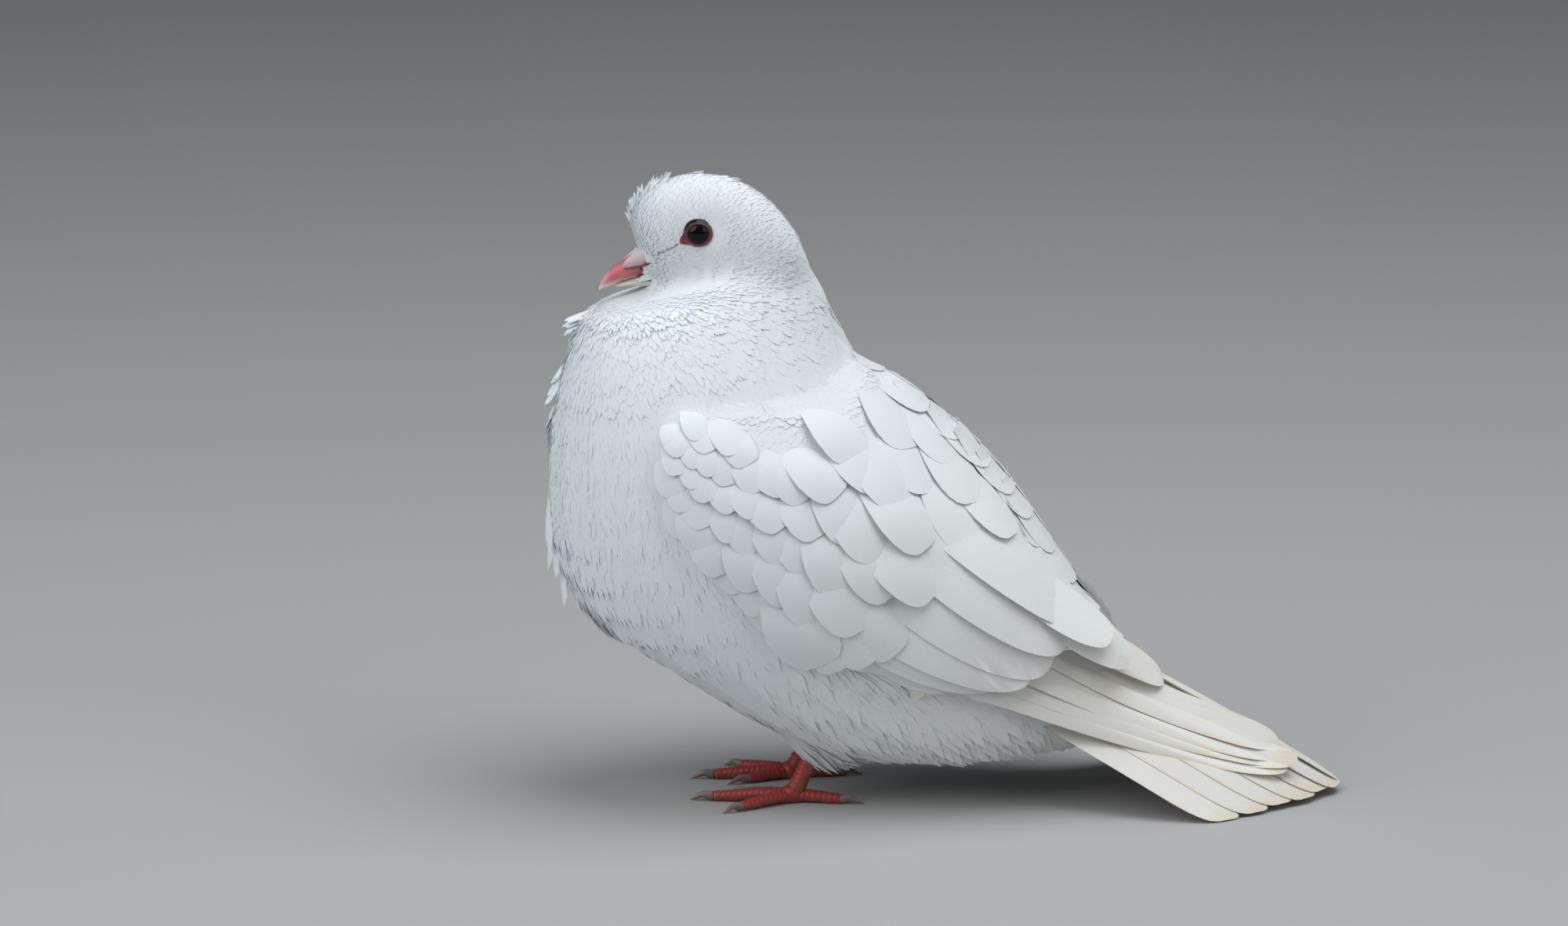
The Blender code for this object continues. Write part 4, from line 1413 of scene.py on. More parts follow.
# %% Feathers along the middle of the back
MIDDLE_TIPS = (  # x z, from the shoulders to the tail, and how far out a pair lies beside it
    (32.0, 136.0),
    (43.0, 127.3),
    (54.0, 118.0),
    (64.0, 108.0),
    (72.5, 98.5),
    (80.0, 87.5),
    (84.0, 82.0, 10.0),
    (86.5, 77.5),
    (91.0, 71.0, 10.5),
    (93.5, 67.5),
    (98.5, 60.5, 10.5),
    (101.0, 58.0),
    (108.5, 48.5),
    (115.5, 40.5),
)
MIDDLE_ROW = [(x, y, z) for x, z, *out in MIDDLE_TIPS for y in ((-out[0], out[0]) if out else (0.0,))]
MIDDLE_LENGTH = 30.0
MIDDLE_WIDTH = 15.5


def make_middle_row():
    feathers, roots = [], []
    steps = [place(*spot) for spot in MIDDLE_ROW if spot[1] == 0.0]
    for number, (x, y, z) in enumerate(MIDDLE_ROW):
        tip = place(x, y, z) if y == 0.0 else SKIN_TREE.find_nearest(place(x, y, z))[0]
        nearest = min(range(len(steps)), key=lambda i: (steps[i] - tip).length)
        ahead = (steps[min(nearest + 1, len(steps) - 1)] - steps[max(nearest - 1, 0)]).normalized()
        root = tip - ahead * MIDDLE_LENGTH * MM
        shape = feather(14, MIDDLE_WIDTH / MIDDLE_LENGTH, steps=3, waist=0.62, point=0.6, root=0.5, fray=0.03,
                        cup=0.16, arch=0.02, thick=0.012, seed=700 + number)
        normals = [(-ahead.z, 0.03 * y, ahead.x)] * 2
        feathers.append(lay_feather(shape, root, tip, SKIN_TREE, (-2.0, 0.3), normals=normals))
        roots.append(root)
    join_feathers("middle_row", feathers, COVERT, "plumage", root_cells(roots))


make_middle_row()

# %% [markdown]
# ## Tufts that stand out
# Plumage is never quite closed. On the forehead, the nape and the upper breast some feathers stand away from
# the coat and roughen its outline. They are set one by one, in a few groups of narrow feathers.

# %% Standing tufts
TUFT_GROUPS = (  # along the middle from x z to x z, spread in y, how many, length, width, lift in degrees
    ((-50.5, 183.0), (-48.0, 189.5), 3.0, 16, 4.2, 1.0, (14, 30)),
    ((-48.0, 189.5), (-39.0, 197.5), 3.5, 26, 4.6, 1.1, (12, 32)),
    ((-33.0, 199.5), (-16.0, 197.0), 4.0, 12, 3.8, 1.1, (5, 12)),
    ((14.0, 156.0), (18.0, 149.0), 8.0, 14, 13.0, 3.4, (2, 9)),
    ((-61.5, 155.0), (-63.5, 154.0), 3.0, 8, 8.0, 2.0, (12, 24)),
    ((-64.0, 152.5), (-65.5, 150.0), 3.5, 8, 7.0, 2.0, (12, 24)),
    ((-69.0, 139.5), (-70.0, 137.0), 3.5, 7, 7.5, 2.2, (10, 20)),
    ((-70.5, 136.0), (-72.0, 132.0), 3.5, 8, 9.0, 2.4, (10, 22)),
    ((-73.0, 126.0), (-73.5, 122.0), 4.0, 7, 8.5, 2.4, (6, 14)),
    ((-72.5, 98.0), (-72.5, 92.0), 9.0, 10, 19.0, 3.4, (2, 7)),
    ((-71.0, 88.0), (-68.0, 80.0), 10.0, 10, 17.0, 3.2, (2, 8)),
    ((-66.0, 76.0), (-60.0, 66.0), 11.0, 12, 14.0, 3.0, (2, 8)),
)
TUFT_PARTING = 1.1  # how far the tufts' faces turn away from the middle to both sides
TUFT_SPREAD = 0.16  # how far they stray from the coat's direction


def make_tufts():
    rng = np.random.default_rng(31)
    feathers, roots = [], []
    for start, end, spread, count, length, width, lifts in TUFT_GROUPS:
        for _ in range(count):
            share = rng.random()
            x, z = [a + (b - a) * share for a, b in zip(start, end)]
            root, normal = SKIN_TREE.find_nearest(place(x, rng.uniform(-spread, spread), z))[:2]
            away = root - place(*BILL_BASE)
            flow = (away - normal * away.dot(normal)).normalized()
            flow = (flow + normal.cross(flow) * rng.normal(0, TUFT_SPREAD)).normalized()
            lift = math.radians(rng.uniform(*lifts))
            size = length * rng.uniform(0.8, 1.15)
            tip = root + (flow * math.cos(lift) + normal * math.sin(lift)) * size * MM
            shape = feather(3, width / size, waist=0.4, point=1.3, root=0.5, cup=0.2, thick=0.05, arch=0.06,
                            seed=int(rng.integers(1 << 30)))
            facing = (normal + Vector((0, math.copysign(TUFT_PARTING, root.y), 0))).normalized()
            feathers.append(lay_feather(shape, root, tip, SKIN_TREE, (0.1, 0.6), normals=[facing] * 2))
            roots.append(root)
    join_feathers("standing_tufts", feathers, PLUMAGE, "plumage", root_cells(roots))


make_tufts()

# %% [markdown]
# ## Bill and cere
# The bill is horn over bone: pink where blood shines through, paler at the hooked tip and along the cutting
# edge. At its root sits the cere, two soft, powdery lobes, with the nostril as a slit below them. The solids
# give the shapes; here they are subdivided and smoothed, so that the light runs over them without facets.

# %% Smooth solids for the bare parts
CUTS = 2
BARE_ROUNDS = 2
ALL_AXES = dict(use_axis_x=True, use_axis_y=True, use_axis_z=True)
BARE_CELL = np.array((1 / 3, 1 / 2)) * 0.94
BARE_MARGIN = 0.01


def refined(name):
    """A solid's welded, subdivided and smoothed copy."""
    bm = merged_solid(name)
    bmesh.ops.triangulate(bm, faces=bm.faces)
    bmesh.ops.subdivide_edges(bm, edges=bm.edges, cuts=CUTS, use_grid_fill=True)
    for _ in range(BARE_ROUNDS):
        bmesh.ops.smooth_vert(bm, verts=bm.verts, factor=0.5, **ALL_AXES)
    return bm


def bare_mesh(name, bm, finish):
    """A bare part's finished mesh, with a baked map of six charts."""
    mesh = bpy.data.meshes.new(name)
    bm.to_mesh(mesh)
    bm.free()
    mesh.shade_smooth()
    mesh.materials.append(finish)
    lay_charts(mesh, read(mesh.vertices, "co", 3), side_faced(mesh), 3, 2, BARE_CELL, BARE_MARGIN)
    return mesh


print("Ready to refine the bare parts")

# %% Finishes of the bill and cere
BILL_PINK = (0.64, 0.17, 0.20)
BILL_RED = (0.58, 0.10, 0.13)
BILL_PALE = (0.76, 0.60, 0.57)
BILL_CREAM = (0.74, 0.69, 0.62)
CERE_WHITE = (0.72, 0.60, 0.63)
CERE_PINK = (0.66, 0.42, 0.45)


def mm_place(start):
    """The object's coordinates, and the same in the drawing's mm, as wires x, y and z."""
    spot = object_spot(start)
    return spot, [spot.axis(axis) * 1000.0 - float(shift) * 1000.0 for axis, shift in zip("XYZ", ORIGIN)]


def make_bill_finish():
    material, shader, start = new_finish("bill_horn", 0.42, Coat_Weight=0.15, Coat_Roughness=0.3,
                                         Subsurface_Weight=0.15, Subsurface_Scale=0.001)
    spot, (x, _, z) = mm_place(start)
    mottle = noise(spot, 500.0, 4.0)
    toward_tip = ((0.0 - x - 55.0) * 0.22 + mottle * 0.4 - 0.2).clamped()
    cutting_edge = 167.2 + (x + 44.0) * 0.25
    to_edge = (1.0 - (z - cutting_edge) * 1.7).clamped()
    pale = start.maths("MAXIMUM", toward_tip, to_edge * 0.55)
    colour = blend(pale, blend(mottle * 0.35, BILL_PINK, BILL_RED), BILL_PALE)
    lower = ((cutting_edge - 0.3 - z) * 2.0).clamped()
    connect(blend(lower, colour, BILL_CREAM), shader, "Base Color")
    add_relief(shader, noise(spot, 1400.0), 0.25, 0.0001)
    return material


def make_cere_finish():
    material, shader, start = new_finish("cere_powder", 0.75, Subsurface_Weight=0.2, Subsurface_Scale=0.001)
    spot, (_, _, z) = mm_place(start)
    grain = noise(spot, 1500.0, 4.0)
    cells = start.node("ShaderNodeTexVoronoi", inputs={"Vector": spot, "Scale": 1800.0})
    low = ((172.6 - z) * 0.35 + grain * 0.6 - 0.2).clamped()
    connect(blend(low, CERE_WHITE, CERE_PINK), shader, "Base Color")
    add_relief(shader, grain * 0.6 + cells * 0.6, 0.4, 0.00025)
    return material


def mottled(name, roughness, scale, first, second):
    """A plain finish, mottled between two colours."""
    material, shader, start = new_finish(name, roughness)
    connect(blend(noise(object_spot(start), scale), first, second), shader, "Base Color")
    return material


BILL = make_bill_finish()
CERE = make_cere_finish()
NOSTRIL = mottled("nostril", 0.5, 900.0, (0.16, 0.035, 0.035), (0.26, 0.07, 0.07))
print("Finishes:", BILL.name, CERE.name, NOSTRIL.name)

# %% Bill, cere and nostrils
NOSTRIL_LINE = (  # x z, and the slit's half width
    (-50.6, 169.0, 0.15),
    (-48.4, 169.5, 0.4),
    (-46.2, 169.9, 0.5),
    (-44.2, 170.5, 0.45),
    (-42.4, 171.6, 0.35),
    (-41.0, 173.2, 0.15),
)
CERE_AT = (-44.8, -3.1, 173.0)
CERE_RADII = (7.0, 2.8, 2.8)
CERE_TILT = math.radians(28)  # the lobe's rear end lies higher
CERE_FULLNESS = 0.18  # how much fuller the lobe is behind than at its middle
CERE_WAVE = 0.25
CERE_ROWS, CERE_SIDES = 20, 28
FAR_OUT = 30.0  # mm to the side, well outside the head


def ring_faces(count, sides, capped=True):
    """The faces between rings of vertices that follow each other, and the first and last ring's own."""
    faces = []
    for i in range(count - 1):
        for k in range(sides):
            j = (k + 1) % sides
            faces.append((i * sides + k, i * sides + j, (i + 1) * sides + j, (i + 1) * sides + k))
    if capped:
        faces.append(tuple(reversed(range(sides))))
        faces.append(tuple(range((count - 1) * sides, count * sides)))
    return faces


def tube(points, radii, sides=10):
    """A closed tube along points, in mm."""
    points = [np.array(p, dtype=float) for p in points]
    verts = []
    for i, (point, radius) in enumerate(zip(points, radii)):
        ahead = points[min(i + 1, len(points) - 1)] - points[max(i - 1, 0)]
        ahead /= np.linalg.norm(ahead)
        side = np.cross(ahead, (0.0, 0.0, 1.0))
        side /= np.linalg.norm(side)
        up = np.cross(side, ahead)
        turns = np.linspace(0, 2 * math.pi, sides, endpoint=False)
        verts += [point + (side * math.cos(t) + up * math.sin(t)) * radius for t in turns]
    return verts, ring_faces(len(points), sides)


def both_sides(name, shells, finish):
    """One mesh from closed shells in mm, each of them on both sides of the head."""
    bm = bmesh.new()
    for verts, faces in shells:
        for flip in (1, -1):
            made = [bm.verts.new(place(p[0], p[1] * flip, p[2])) for p in verts]
            for face in faces:
                bm.faces.new([made[i] for i in face])
    bmesh.ops.recalc_face_normals(bm, faces=bm.faces)
    return bare_mesh(name, bm, finish)


def on_solid(tree, x, z):
    """The point of a surface at that place of the side view, in mm, or None."""
    hit = tree.ray_cast(place(x, -FAR_OUT, z), Vector((0, 1, 0)))[0]
    return None if hit is None else drawn(np.array(hit)[None])[0]


def cere_lobe():
    verts = []
    for turn in np.arange(CERE_ROWS + 1) * math.pi / CERE_ROWS:
        x = -math.cos(turn) * CERE_RADII[0]
        size = math.sin(turn) * (1 - CERE_FULLNESS * math.cos(turn))
        for round_turn in np.arange(CERE_SIDES) * 2 * math.pi / CERE_SIDES:
            y = math.cos(round_turn) * size * CERE_RADII[1]
            z = math.sin(round_turn) * size * CERE_RADII[2]
            z += CERE_WAVE * math.sin(3.0 * x / CERE_RADII[0] + y)
            ahead = x * math.cos(CERE_TILT) - z * math.sin(CERE_TILT)
            height = x * math.sin(CERE_TILT) + z * math.cos(CERE_TILT)
            verts.append(tuple(c + t for c, t in zip(CERE_AT, (ahead, y, height))))
    return verts, ring_faces(CERE_ROWS + 1, CERE_SIDES, capped=False)


def make_bill():
    for name in ("bill_upper", "bill_lower"):
        bm = refined(name)
        bmesh.ops.recalc_face_normals(bm, faces=bm.faces)
        finish_piece(f"{name}_dressed", bare_mesh(f"{name}_skin", bm, BILL), "bill", name)
    lobes = both_sides("cere_lobes", [cere_lobe()], CERE)
    finish_piece("cere_lobes", lobes, "cere", "cere")
    line = []
    for x, z, _ in NOSTRIL_LINE:
        found = [on_solid(surface, x, z) for surface in (BILL_TREE, search_tree(lobes), SKIN_TREE)]
        line.append(min((spot for spot in found if spot is not None), key=lambda spot: spot[1]))
    slit = tube(line, [row[2] for row in NOSTRIL_LINE])
    finish_piece("nostrils", both_sides("nostrils", [slit], NOSTRIL), "cere")
    print("Nostril along", len(line), "points")


BILL_TREE = solid_tree("bill_upper")
make_bill()

# %% [markdown]
# Where the face meets the bill, its smallest feathers lean forward and hide the joint. They are too few and
# too exactly placed to be scattered, so they run in a line down each side of the bill's root, from the cere
# to the corner of the mouth.

# %% Fringe over the bill's root
FRINGE_ROOTS = ((-39.4, 173.4), (-41.6, 170.0), (-41.8, 167.6), (-41.8, 166.2))  # x z down the face
FRINGE_TIPS = ((-41.6, 172.4), (-44.7, 169.2), (-44.2, 167.2), (-46.8, 164.8))
FRINGE_COUNT = 40
FRINGE_WIDTH = 0.8
FRINGE_JITTER = (0.02, 0.5)  # along the lines, as a share, and in mm of x
BILL_HALF = 5.0  # no fringe further out than this
BILL_SIDE = -3.2  # y where neither bill nor face lies under a point


def make_fringe():
    rng = np.random.default_rng(41)
    places = np.linspace(0, 1, len(FRINGE_ROOTS))
    feathers, roots = [], []
    for side in (-1, 1):
        for share in np.linspace(0.02, 1, FRINGE_COUNT):
            share = min(max(share + rng.normal(0, FRINGE_JITTER[0]), 0.0), 1.0)
            ends = []
            for line, out in ((FRINGE_ROOTS, -0.3), (FRINGE_TIPS, rng.uniform(0.2, 0.9))):
                x, z = [float(np.interp(share, places, [spot[axis] for spot in line])) for axis in (0, 1)]
                x += rng.normal(0, FRINGE_JITTER[1])
                found = [on_solid(surface, x, z) for surface in (BILL_TREE, SKIN_TREE)]
                y = min([spot[1] for spot in found if spot is not None], default=BILL_SIDE)
                ends.append(place(x, (max(y, -BILL_HALF) - out) * -side, z))
            size = (ends[1] - ends[0]).length / MM
            shape = feather(3, FRINGE_WIDTH / size, waist=0.45, point=1.2, root=0.6, cup=0.1, thick=0.06)
            normals = [(0.25, side * 0.95, 0.1)] * 2
            feathers.append(lay_feather(shape, *ends, SKIN_TREE, (0.0, 0.0), normals=normals))
            roots.append(ends[0])
    join_feathers("bill_fringe", feathers, PLUMAGE, "plumage", root_cells(roots))


make_fringe()

# %% [markdown]
# ## Eyes
# A pigeon's eye is a glossy globe: a black pupil in a dark iris, with a narrow bare ring of skin round it.
# The globe's own gloss gives the glint, so it needs no clear dome over the iris. The ring is a soft torus,
# pointed at the front corner, redder below and behind, and purple-brown above. From that corner a dark line
# of short bristles, the lores, runs to the cere.

# %% Finish of the eye
EYE_AT = (-27.0, -11.1, 182.3)
EYE_RADIUS = 5.2
PUPIL_SIZE = 0.46  # as the sine of the angle from the eye's axis
IRIS_SIZE = 0.66
PUPIL_BLACK = (0.004, 0.004, 0.005)
IRIS_INNER = (0.016, 0.008, 0.008)
IRIS_OUTER = (0.026, 0.009, 0.008)
RIM_DARK = (0.02, 0.01, 0.01)
RING_COLOURS = ((0.05, 0.016, 0.028), (0.25, 0.062, 0.038))  # above, below
LIP_DARK = (0.030, 0.010, 0.014)  # at the ring's inner lip


def eye_reach(x, z):
    """How far a spot lies from the eye's middle, seen from the side."""
    return ((x - EYE_AT[0]) * (x - EYE_AT[0]) + (z - EYE_AT[2]) * (z - EYE_AT[2])) ** 0.5


def make_eye_finish():
    material, shader, start = new_finish("eye_globe", 0.08, Specular_IOR_Level=0.22)
    spot, (x, _, z) = mm_place(start)
    reach = eye_reach(x, z) * (1 / EYE_RADIUS)
    rays = noise(spot, 1600.0, 3.0)
    pupil = ((reach - PUPIL_SIZE) * 30.0).clamped()
    rim = ((reach - IRIS_SIZE) * 12.0).clamped()
    iris = blend(((reach - 0.48) * 3.5 + rays * 0.6 - 0.3).clamped(), IRIS_INNER, IRIS_OUTER)
    connect(blend(rim, blend(pupil, PUPIL_BLACK, iris), RIM_DARK), shader, "Base Color")
    return material


def make_ring_finish():
    material, shader, start = new_finish("eye_ring", 0.55, Subsurface_Weight=0.1, Subsurface_Scale=0.001)
    spot, (x, _, z) = mm_place(start)
    wrinkles = noise(spot, 1300.0, 4.0)
    low = (0.5 - (z - EYE_AT[2]) * 0.16 + (x - EYE_AT[0]) * 0.05).clamped()
    shade = (low + wrinkles * 0.8 - 0.4).clamped()
    outward = ((eye_reach(x, z) - 3.3) * 1.2 + wrinkles * 0.3).clamped()
    connect(blend(outward, LIP_DARK, blend(shade, *RING_COLOURS)), shader, "Base Color")
    add_relief(shader, wrinkles, 0.6, 0.0003)
    return material


EYE = make_eye_finish()
RING = make_ring_finish()
LORE_SKIN = mottled("lore_skin", 0.7, 700.0, (0.16, 0.10, 0.09), (0.45, 0.36, 0.33))
print("Finishes:", EYE.name, RING.name, LORE_SKIN.name)

# %% Eyes, their rings and lores
RING_SEGMENTS = 64
RING_INNER = 3.15
RING_OUTER = 4.55
RING_ROWS = (  # how far out each row lies, and how high over the face, from the inner lip to the feathers
    (RING_INNER, 0.1),
    (RING_INNER + 0.15, 0.4),
    (RING_INNER + 0.5, 0.55),
    (RING_OUTER - 0.3, 0.7),
    (RING_OUTER, 0.0),
)
RING_SHAPE = (1.02, 0.94)  # the ring's length and height against a circle
RING_DEPTH = 1.6
CORNER = (-33.0, 178.9)  # x z of the front corner
CORNER_WIDTH = 0.34  # in radians
LORE = ((-33.2, 178.9), (-36.2, 177.2), (-39.0, 175.8), (-41.6, 174.6))  # x z from the corner to the cere
LORE_OUT = 0.42
LORE_DASHES = ((0.0, 0.45, 0.10), (0.42, 0.95, -0.12))  # from and to, in each stretch, and how much higher
DASH_RADII = (0.08, 0.24, 0.06)


def make_eye_ring():
    """A soft ring from the globe out onto the face, and closed behind."""
    verts = []
    corner_angle = math.atan2(CORNER[1] - EYE_AT[2], CORNER[0] - EYE_AT[0])
    for number, (reach, rise) in enumerate(RING_ROWS):
        for k in range(RING_SEGMENTS):
            turn = 2 * math.pi * k / RING_SEGMENTS
            off = math.remainder(turn - corner_angle, math.tau)
            pull = math.exp(-(off / CORNER_WIDTH) ** 2) * (0.2 + 0.55 * number)
            x = EYE_AT[0] + math.cos(turn) * (reach + pull) * RING_SHAPE[0]
            z = EYE_AT[2] + math.sin(turn) * (reach + pull) * RING_SHAPE[1]
            globe = EYE_AT[1] - math.sqrt(max(EYE_RADIUS**2 - eye_reach(x, z) ** 2, 0.0))
            face = on_solid(SKIN_TREE, x, z)
            y = globe if number == 0 or face is None else face[1]
            if number in (1, 2):
                y = min(globe, y)
            verts.append((x, y - rise * (0.7 if pull > 0.3 else 1.0), z))
    verts += [(x, y + RING_DEPTH, z) for x, y, z in verts[:RING_SEGMENTS] + verts[-RING_SEGMENTS:]]
    count = len(RING_ROWS)
    faces = []
    order = [*range(count), count + 1, count, 0]
    for near, far in zip(order, order[1:]):
        for k in range(RING_SEGMENTS):
            j = (k + 1) % RING_SEGMENTS
            faces.append([row * RING_SEGMENTS + i for row, i in ((near, k), (near, j), (far, j), (far, k))])
    return verts, faces


def make_globes():
    for side, name in ((-1, "eye_left"), (1, "eye_right")):
        bm = bmesh.new()
        globe = bmesh.ops.create_uvsphere(bm, u_segments=48, v_segments=32, radius=EYE_RADIUS * MM)["verts"]
        bmesh.ops.translate(bm, verts=globe, vec=place(EYE_AT[0], -EYE_AT[1] * side, EYE_AT[2]))
        finish_piece(f"{name}_globe", bare_mesh(f"{name}_globe", bm, EYE), "eye", name)


def make_lores():
    line = [on_solid(SKIN_TREE, x, z) - np.array((0, LORE_OUT, 0)) for x, z in LORE]
    dashes = []
    for near, far in zip(line, line[1:]):
        for low, high, shift in LORE_DASHES:
            ends = [near + (far - near) * share + (0, 0, shift) for share in (low, (low + high) / 2, high)]
            dashes.append(tube(ends, DASH_RADII))
    finish_piece("lores", both_sides("lores", dashes, LORE_SKIN), "eye")


make_globes()
finish_piece("eye_rings", both_sides("eye_rings", [make_eye_ring()], RING), "eye")
make_lores()
print("Eyes, rings and", 2 * len(LORE_DASHES) * (len(LORE) - 1), "dashes of bristles")

# %% [markdown]
# ## Feet
# The toes and the shank are covered with scutes, horny plates that overlap like tiles along the top, over
# soft pads below. Each toe here is a tube whose upper side steps down at every scute and whose lower side
# swells at every pad. The colour follows the same steps: red on top, paler at the scutes' edges and tawny
# below. A Geometry Nodes tree could sweep the tube, but its rings would not know the scutes they belong to.

# %% Finishes of the feet
SCUTE_RED = (0.36, 0.026, 0.024)
SCUTE_WINE = (0.22, 0.025, 0.03)
PAD_TAWNY = (0.26, 0.07, 0.035)
SCUTE_EDGE = (0.56, 0.22, 0.19)
HORN_GREY = (0.20, 0.15, 0.13)
HORN_PALE = (0.48, 0.41, 0.34)


def make_foot_finish():
    material, shader, start = new_finish("foot_scutes", 0.5, Coat_Weight=0.12, Coat_Roughness=0.35)
    scutes = start.node("ShaderNodeUVMap", {"uv_map": "Scutes"})
    over = scutes.axis("Y")
    spot = object_spot(start)
    mottle = noise(spot, 420.0, 4.0)
    grain = start.node("ShaderNodeTexVoronoi", inputs={"Vector": spot, "Scale": 1500.0})
    step = start.maths("FRACT", scutes.axis("X"))
    edge = (1.0 - step * 5.0).clamped() * over
    upper = (over * 1.6 + mottle * 0.8 - 0.7).clamped()
    colour = blend((mottle * 2.4 - 1.35).clamped(), blend(upper, PAD_TAWNY, SCUTE_RED), SCUTE_WINE)
    connect(blend(edge * 0.55, colour, SCUTE_EDGE), shader, "Base Color")
    add_relief(shader, grain + mottle * 0.5, 0.4, 0.0002)
    return material


def make_claw_finish():
    material, shader, start = new_finish("claw_horn", 0.38, Coat_Weight=0.2, Coat_Roughness=0.25)
    spot, (_, _, z) = mm_place(start)
    grain = noise(spot, 650.0, 3.0)
    connect(blend((z * 0.35 + grain * 0.6 - 0.5).clamped(), HORN_GREY, HORN_PALE), shader, "Base Color")
    add_relief(shader, grain, 0.2, 0.0001)
    return material


FOOT_SKIN = make_foot_finish()
CLAW_HORN = make_claw_finish()
print("Finishes:", FOOT_SKIN.name, CLAW_HORN.name)

# %% Scuted toes and shank
FOOT_SIDE = 15.5  # mm from the bird's middle
SHANK = ((3.0, 0.0, 3.2, 3.0), (5.6, 0.0, 8.0, 2.9), (8.3, -0.5, 14.5, 2.7), (10.4, -1.0, 22.5, 3.1))
SHANK_FRONT = (-1.0, 0.0, -0.35)
TOES = {  # heading in degrees, length, radius
    "outer": (36.0, 20.5, 2.35),
    "middle": (-3.0, 26.0, 2.45),
    "inner": (-26.0, 16.5, 2.25),
    "hind": (171.0, 16.5, 2.3),
}
TOE_ROOT = (2.5, 0.0, 2.6)
TOE_TAPER = 0.26
TOE_END = 0.94  # from here a toe closes in a round end
STEP_LENGTH = 0.22  # mm between the rings of a toe
SPINE_ROUNDS = 6
SCUTE_LENGTH = 1.75
SCUTE_STEP = 0.15
PADS = 3.5
PAD_SWELL = 0.11
FLATNESS = 0.92
ROUND = 22


def scuted(spine, up, ends=True):
    """A tube along (x, y, z, radius) rows with scutes on the side that up points to and pads on the other."""
    spots = np.array([row[:3] for row in spine], dtype=float)
    sizes = np.array([row[3] for row in spine], dtype=float)
    lengths = np.concatenate(([0], np.cumsum(np.linalg.norm(np.diff(spots, axis=0), axis=1))))
    steps = int(lengths[-1] / STEP_LENGTH)
    reach = np.linspace(0, lengths[-1], steps + 1)
    middle = np.column_stack([np.interp(reach, lengths, spots[:, axis]) for axis in range(3)])
    for _ in range(SPINE_ROUNDS):
        middle[1:-1] = (middle[:-2] + middle[2:]) / 4 + middle[1:-1] / 2
    verts, chart = [], []
    for i, (spot, radius) in enumerate(zip(middle, np.interp(reach, lengths, sizes))):
        ahead = middle[min(i + 1, steps)] - middle[max(i - 1, 0)]
        ahead /= np.linalg.norm(ahead)
        side = np.cross(up, ahead)
        side /= np.linalg.norm(side)
        top = np.cross(ahead, side)
        scute = reach[i] / SCUTE_LENGTH
        share = reach[i] / lengths[-1]
        pads = PAD_SWELL * math.sin(math.pi * PADS * share) ** 2
        if ends:
            radius *= math.sqrt(max(0.05, 1 - 0.9 * max(0.0, share - TOE_END) / (1 - TOE_END)))
        for k in range(ROUND):
            turn = 2 * math.pi * k / ROUND
            over = math.sin(turn)
            above, below = smooth(over, -0.2, 0.5), smooth(-over, -0.1, 0.6)
            out = radius * (1 + SCUTE_STEP * (0.5 - scute % 1) * above + pads * below)
            verts.append(spot + (side * math.cos(turn) + top * over * FLATNESS) * out)
            chart.append((scute, 0.5 + over / 2))
    return verts, ring_faces(steps + 1, ROUND), chart


def toe_line(heading, length, radius):
    """The rows of a toe from its root to its claw, a little arched, and where it heads."""
    turn = math.radians(180 - heading)
    ahead = np.array((math.cos(turn), -math.sin(turn), 0))
    rows = []
    for share in np.linspace(0, 1, 7):
        size = radius * (1 - TOE_TAPER * share)
        x, y, _ = np.array(TOE_ROOT) + ahead * length * share
        rows.append((x, y, size * 0.88 + 0.9 * math.sin(math.pi * share) * (1 - share), size))
    return rows, ahead


print("Scutes of", SCUTE_LENGTH, "mm on toes of", [row[1] for row in TOES.values()])

# %% Claws, the ball of the foot, and both feet
CLAW_LENGTH = 6.6
CLAW_START = -0.12  # inside the toe's end, as a share of the claw's length
CLAW_ROUND = 16
CLAW_POINT = 0.12
BALL_RADII = (3.9, 3.5, 3.3)
BALL_ROWS = 16
SOLE = 0.06  # the lowest point of a foot over the floor, and below the lowest of its ball
BALL_SOLE = 0.1
SHEET_COLUMNS = 3
SHEET_CELL = 0.31


def claw_line(end, ahead):
    """A claw that springs from the toe's end and hooks down to the floor."""
    rows = []
    for share in np.linspace(CLAW_START, 1, 15):
        x, y = np.array(end[:2]) + ahead[:2] * CLAW_LENGTH * share
        share = max(share, 0)
        radius = max(end[3] * 0.86 * (1 - share) ** 0.75, CLAW_POINT)
        z = end[2] + 0.55 * math.sin(math.pi * min(share * 1.4, 1.0)) - (end[2] - 0.25) * share**2.1
        rows.append((x, y, max(z, radius * 0.9 + 0.1), radius))
    return rows


def ball():
    """The foot's ball, where the toes meet."""
    verts, chart = [], []
    for i in range(BALL_ROWS + 1):
        turn = math.pi * i / BALL_ROWS
        for k in range(ROUND):
            around = 2 * math.pi * k / ROUND
            unit = (math.sin(turn) * math.cos(around), math.cos(turn), math.sin(turn) * math.sin(around))
            x, y, z = [c + u * r for c, u, r in zip(TOE_ROOT, unit, BALL_RADII)]
            verts.append((x, y, max(z, BALL_SOLE)))
            chart.append((0.5, 0.5 + unit[2] / 2))
    faces = ring_faces(BALL_ROWS + 1, ROUND, capped=False)
    return verts, [(a, d, c, b) for a, b, c, d in faces], chart


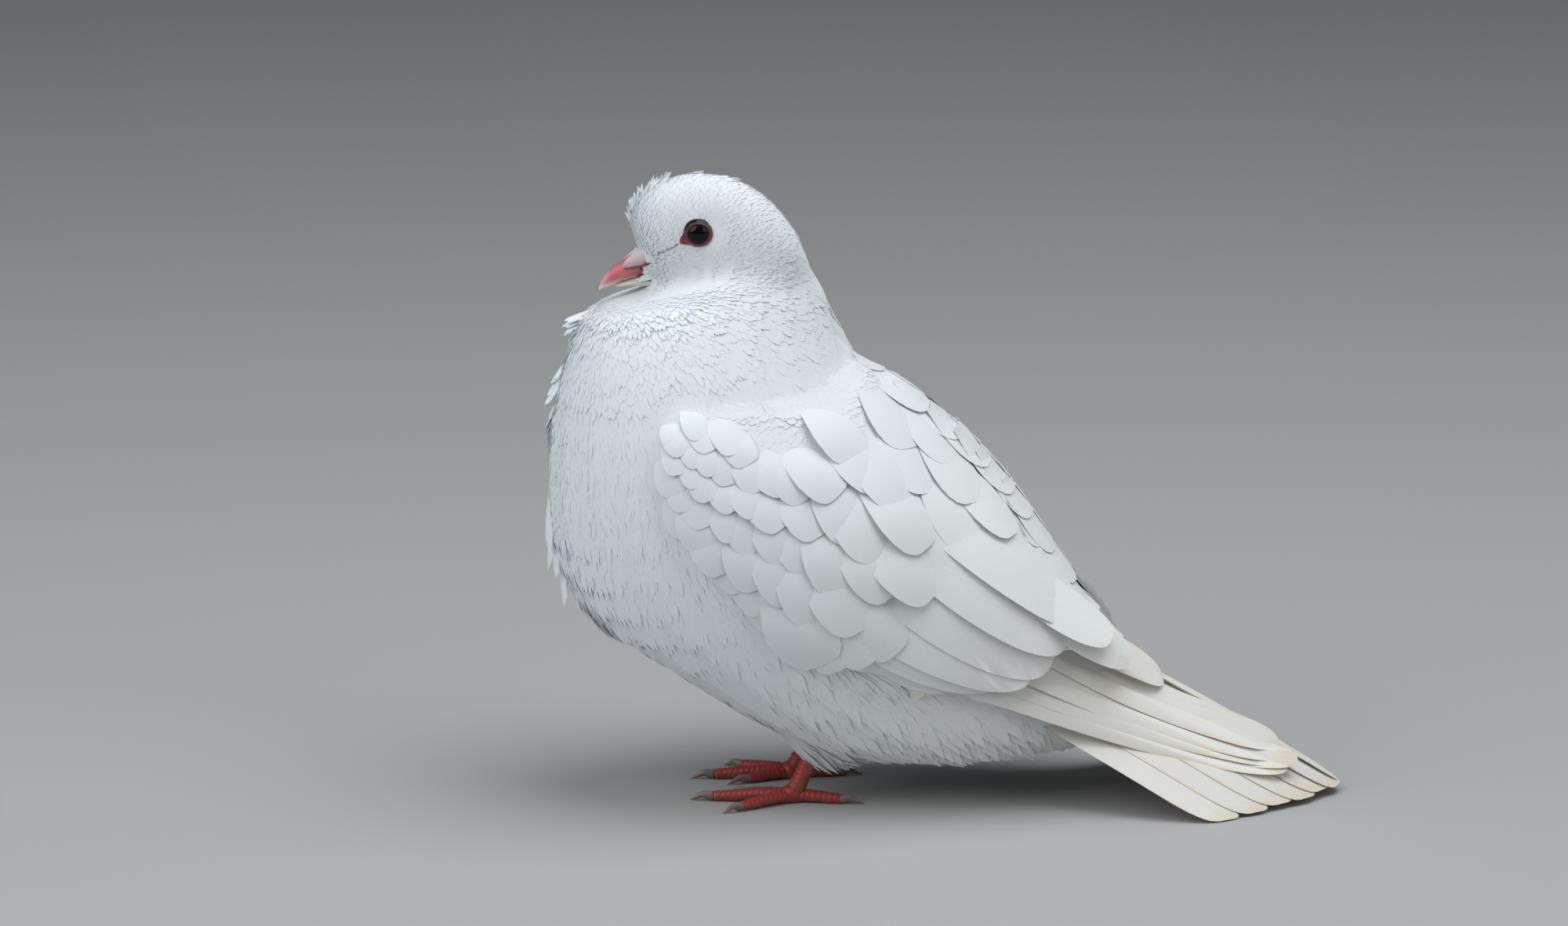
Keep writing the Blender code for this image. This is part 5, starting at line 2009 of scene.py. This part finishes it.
def stand(name, shells, finish, slot, side, *replaced):
    """Shells in the foot's own mm, stood on the floor on one side of the body."""
    verts, faces, charts, cells = [], [], [], []
    for number, (spots, polygons, chart) in enumerate(shells):
        start = len(verts)
        for x, y, z in spots:
            verts.append(place(x, (y - FOOT_SIDE) * (1 if side == "left" else -1), max(z, SOLE) + FLOOR))
        if side == "right":
            polygons = [face[::-1] for face in polygons]
        faces += [tuple(i + start for i in face) for face in polygons]
        charts += chart
        top = max(c[0] for c in chart) + 1e-6
        corner = np.array((number % SHEET_COLUMNS, number // SHEET_COLUMNS)) / SHEET_COLUMNS + 0.01
        cells += [corner + np.array((c[0] / top, c[1])) * SHEET_CELL for c in chart]
    mesh = bpy.data.meshes.new(name)
    mesh.from_pydata(verts, [], faces)
    corners = corner_points(mesh)
    add_map(mesh, "Scutes", np.array(charts)[corners])
    add_map(mesh, "OFBake", np.array(cells)[corners])
    mesh.shade_smooth()
    mesh.materials.append(finish)
    finish_piece(name, mesh, slot, *replaced)


def make_foot(side):
    shells = [scuted(SHANK, SHANK_FRONT, ends=False), ball()]
    claws = []
    for rows, ahead in [toe_line(*toe) for toe in TOES.values()]:
        shells.append(scuted(rows, (0.0, 0.0, 1.0)))
        claw = claw_line(rows[-1], ahead)
        verts, faces = tube([row[:3] for row in claw], [row[3] for row in claw], CLAW_ROUND)
        chart = [(i // CLAW_ROUND, i % CLAW_ROUND / CLAW_ROUND) for i in range(len(verts))]
        claws.append((verts, faces, chart))
    stand(f"scuted_foot_{side}", shells, FOOT_SKIN, "bare_skin", side, f"foot_{side}")
    stand(f"claws_{side}", claws, CLAW_HORN, "claw", side, *[f"claw_{side}_{toe}" for toe in TOES])


for side in ("left", "right"):
    make_foot(side)
print("Feet stand at", FOOT_SIDE, "mm to either side")

# %% [markdown]
# ## Sizes
# The box of the solids was measured when they were loaded. Measured again with every piece in place, it shows
# whether the dressed bird has kept its size.

# %% Sizes
shown_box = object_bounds()
[[float(v) for v in corner] for corner in (*solid_box, *shown_box)]
print("Box of the solids", solid_box, "and of the dressed bird", shown_box)
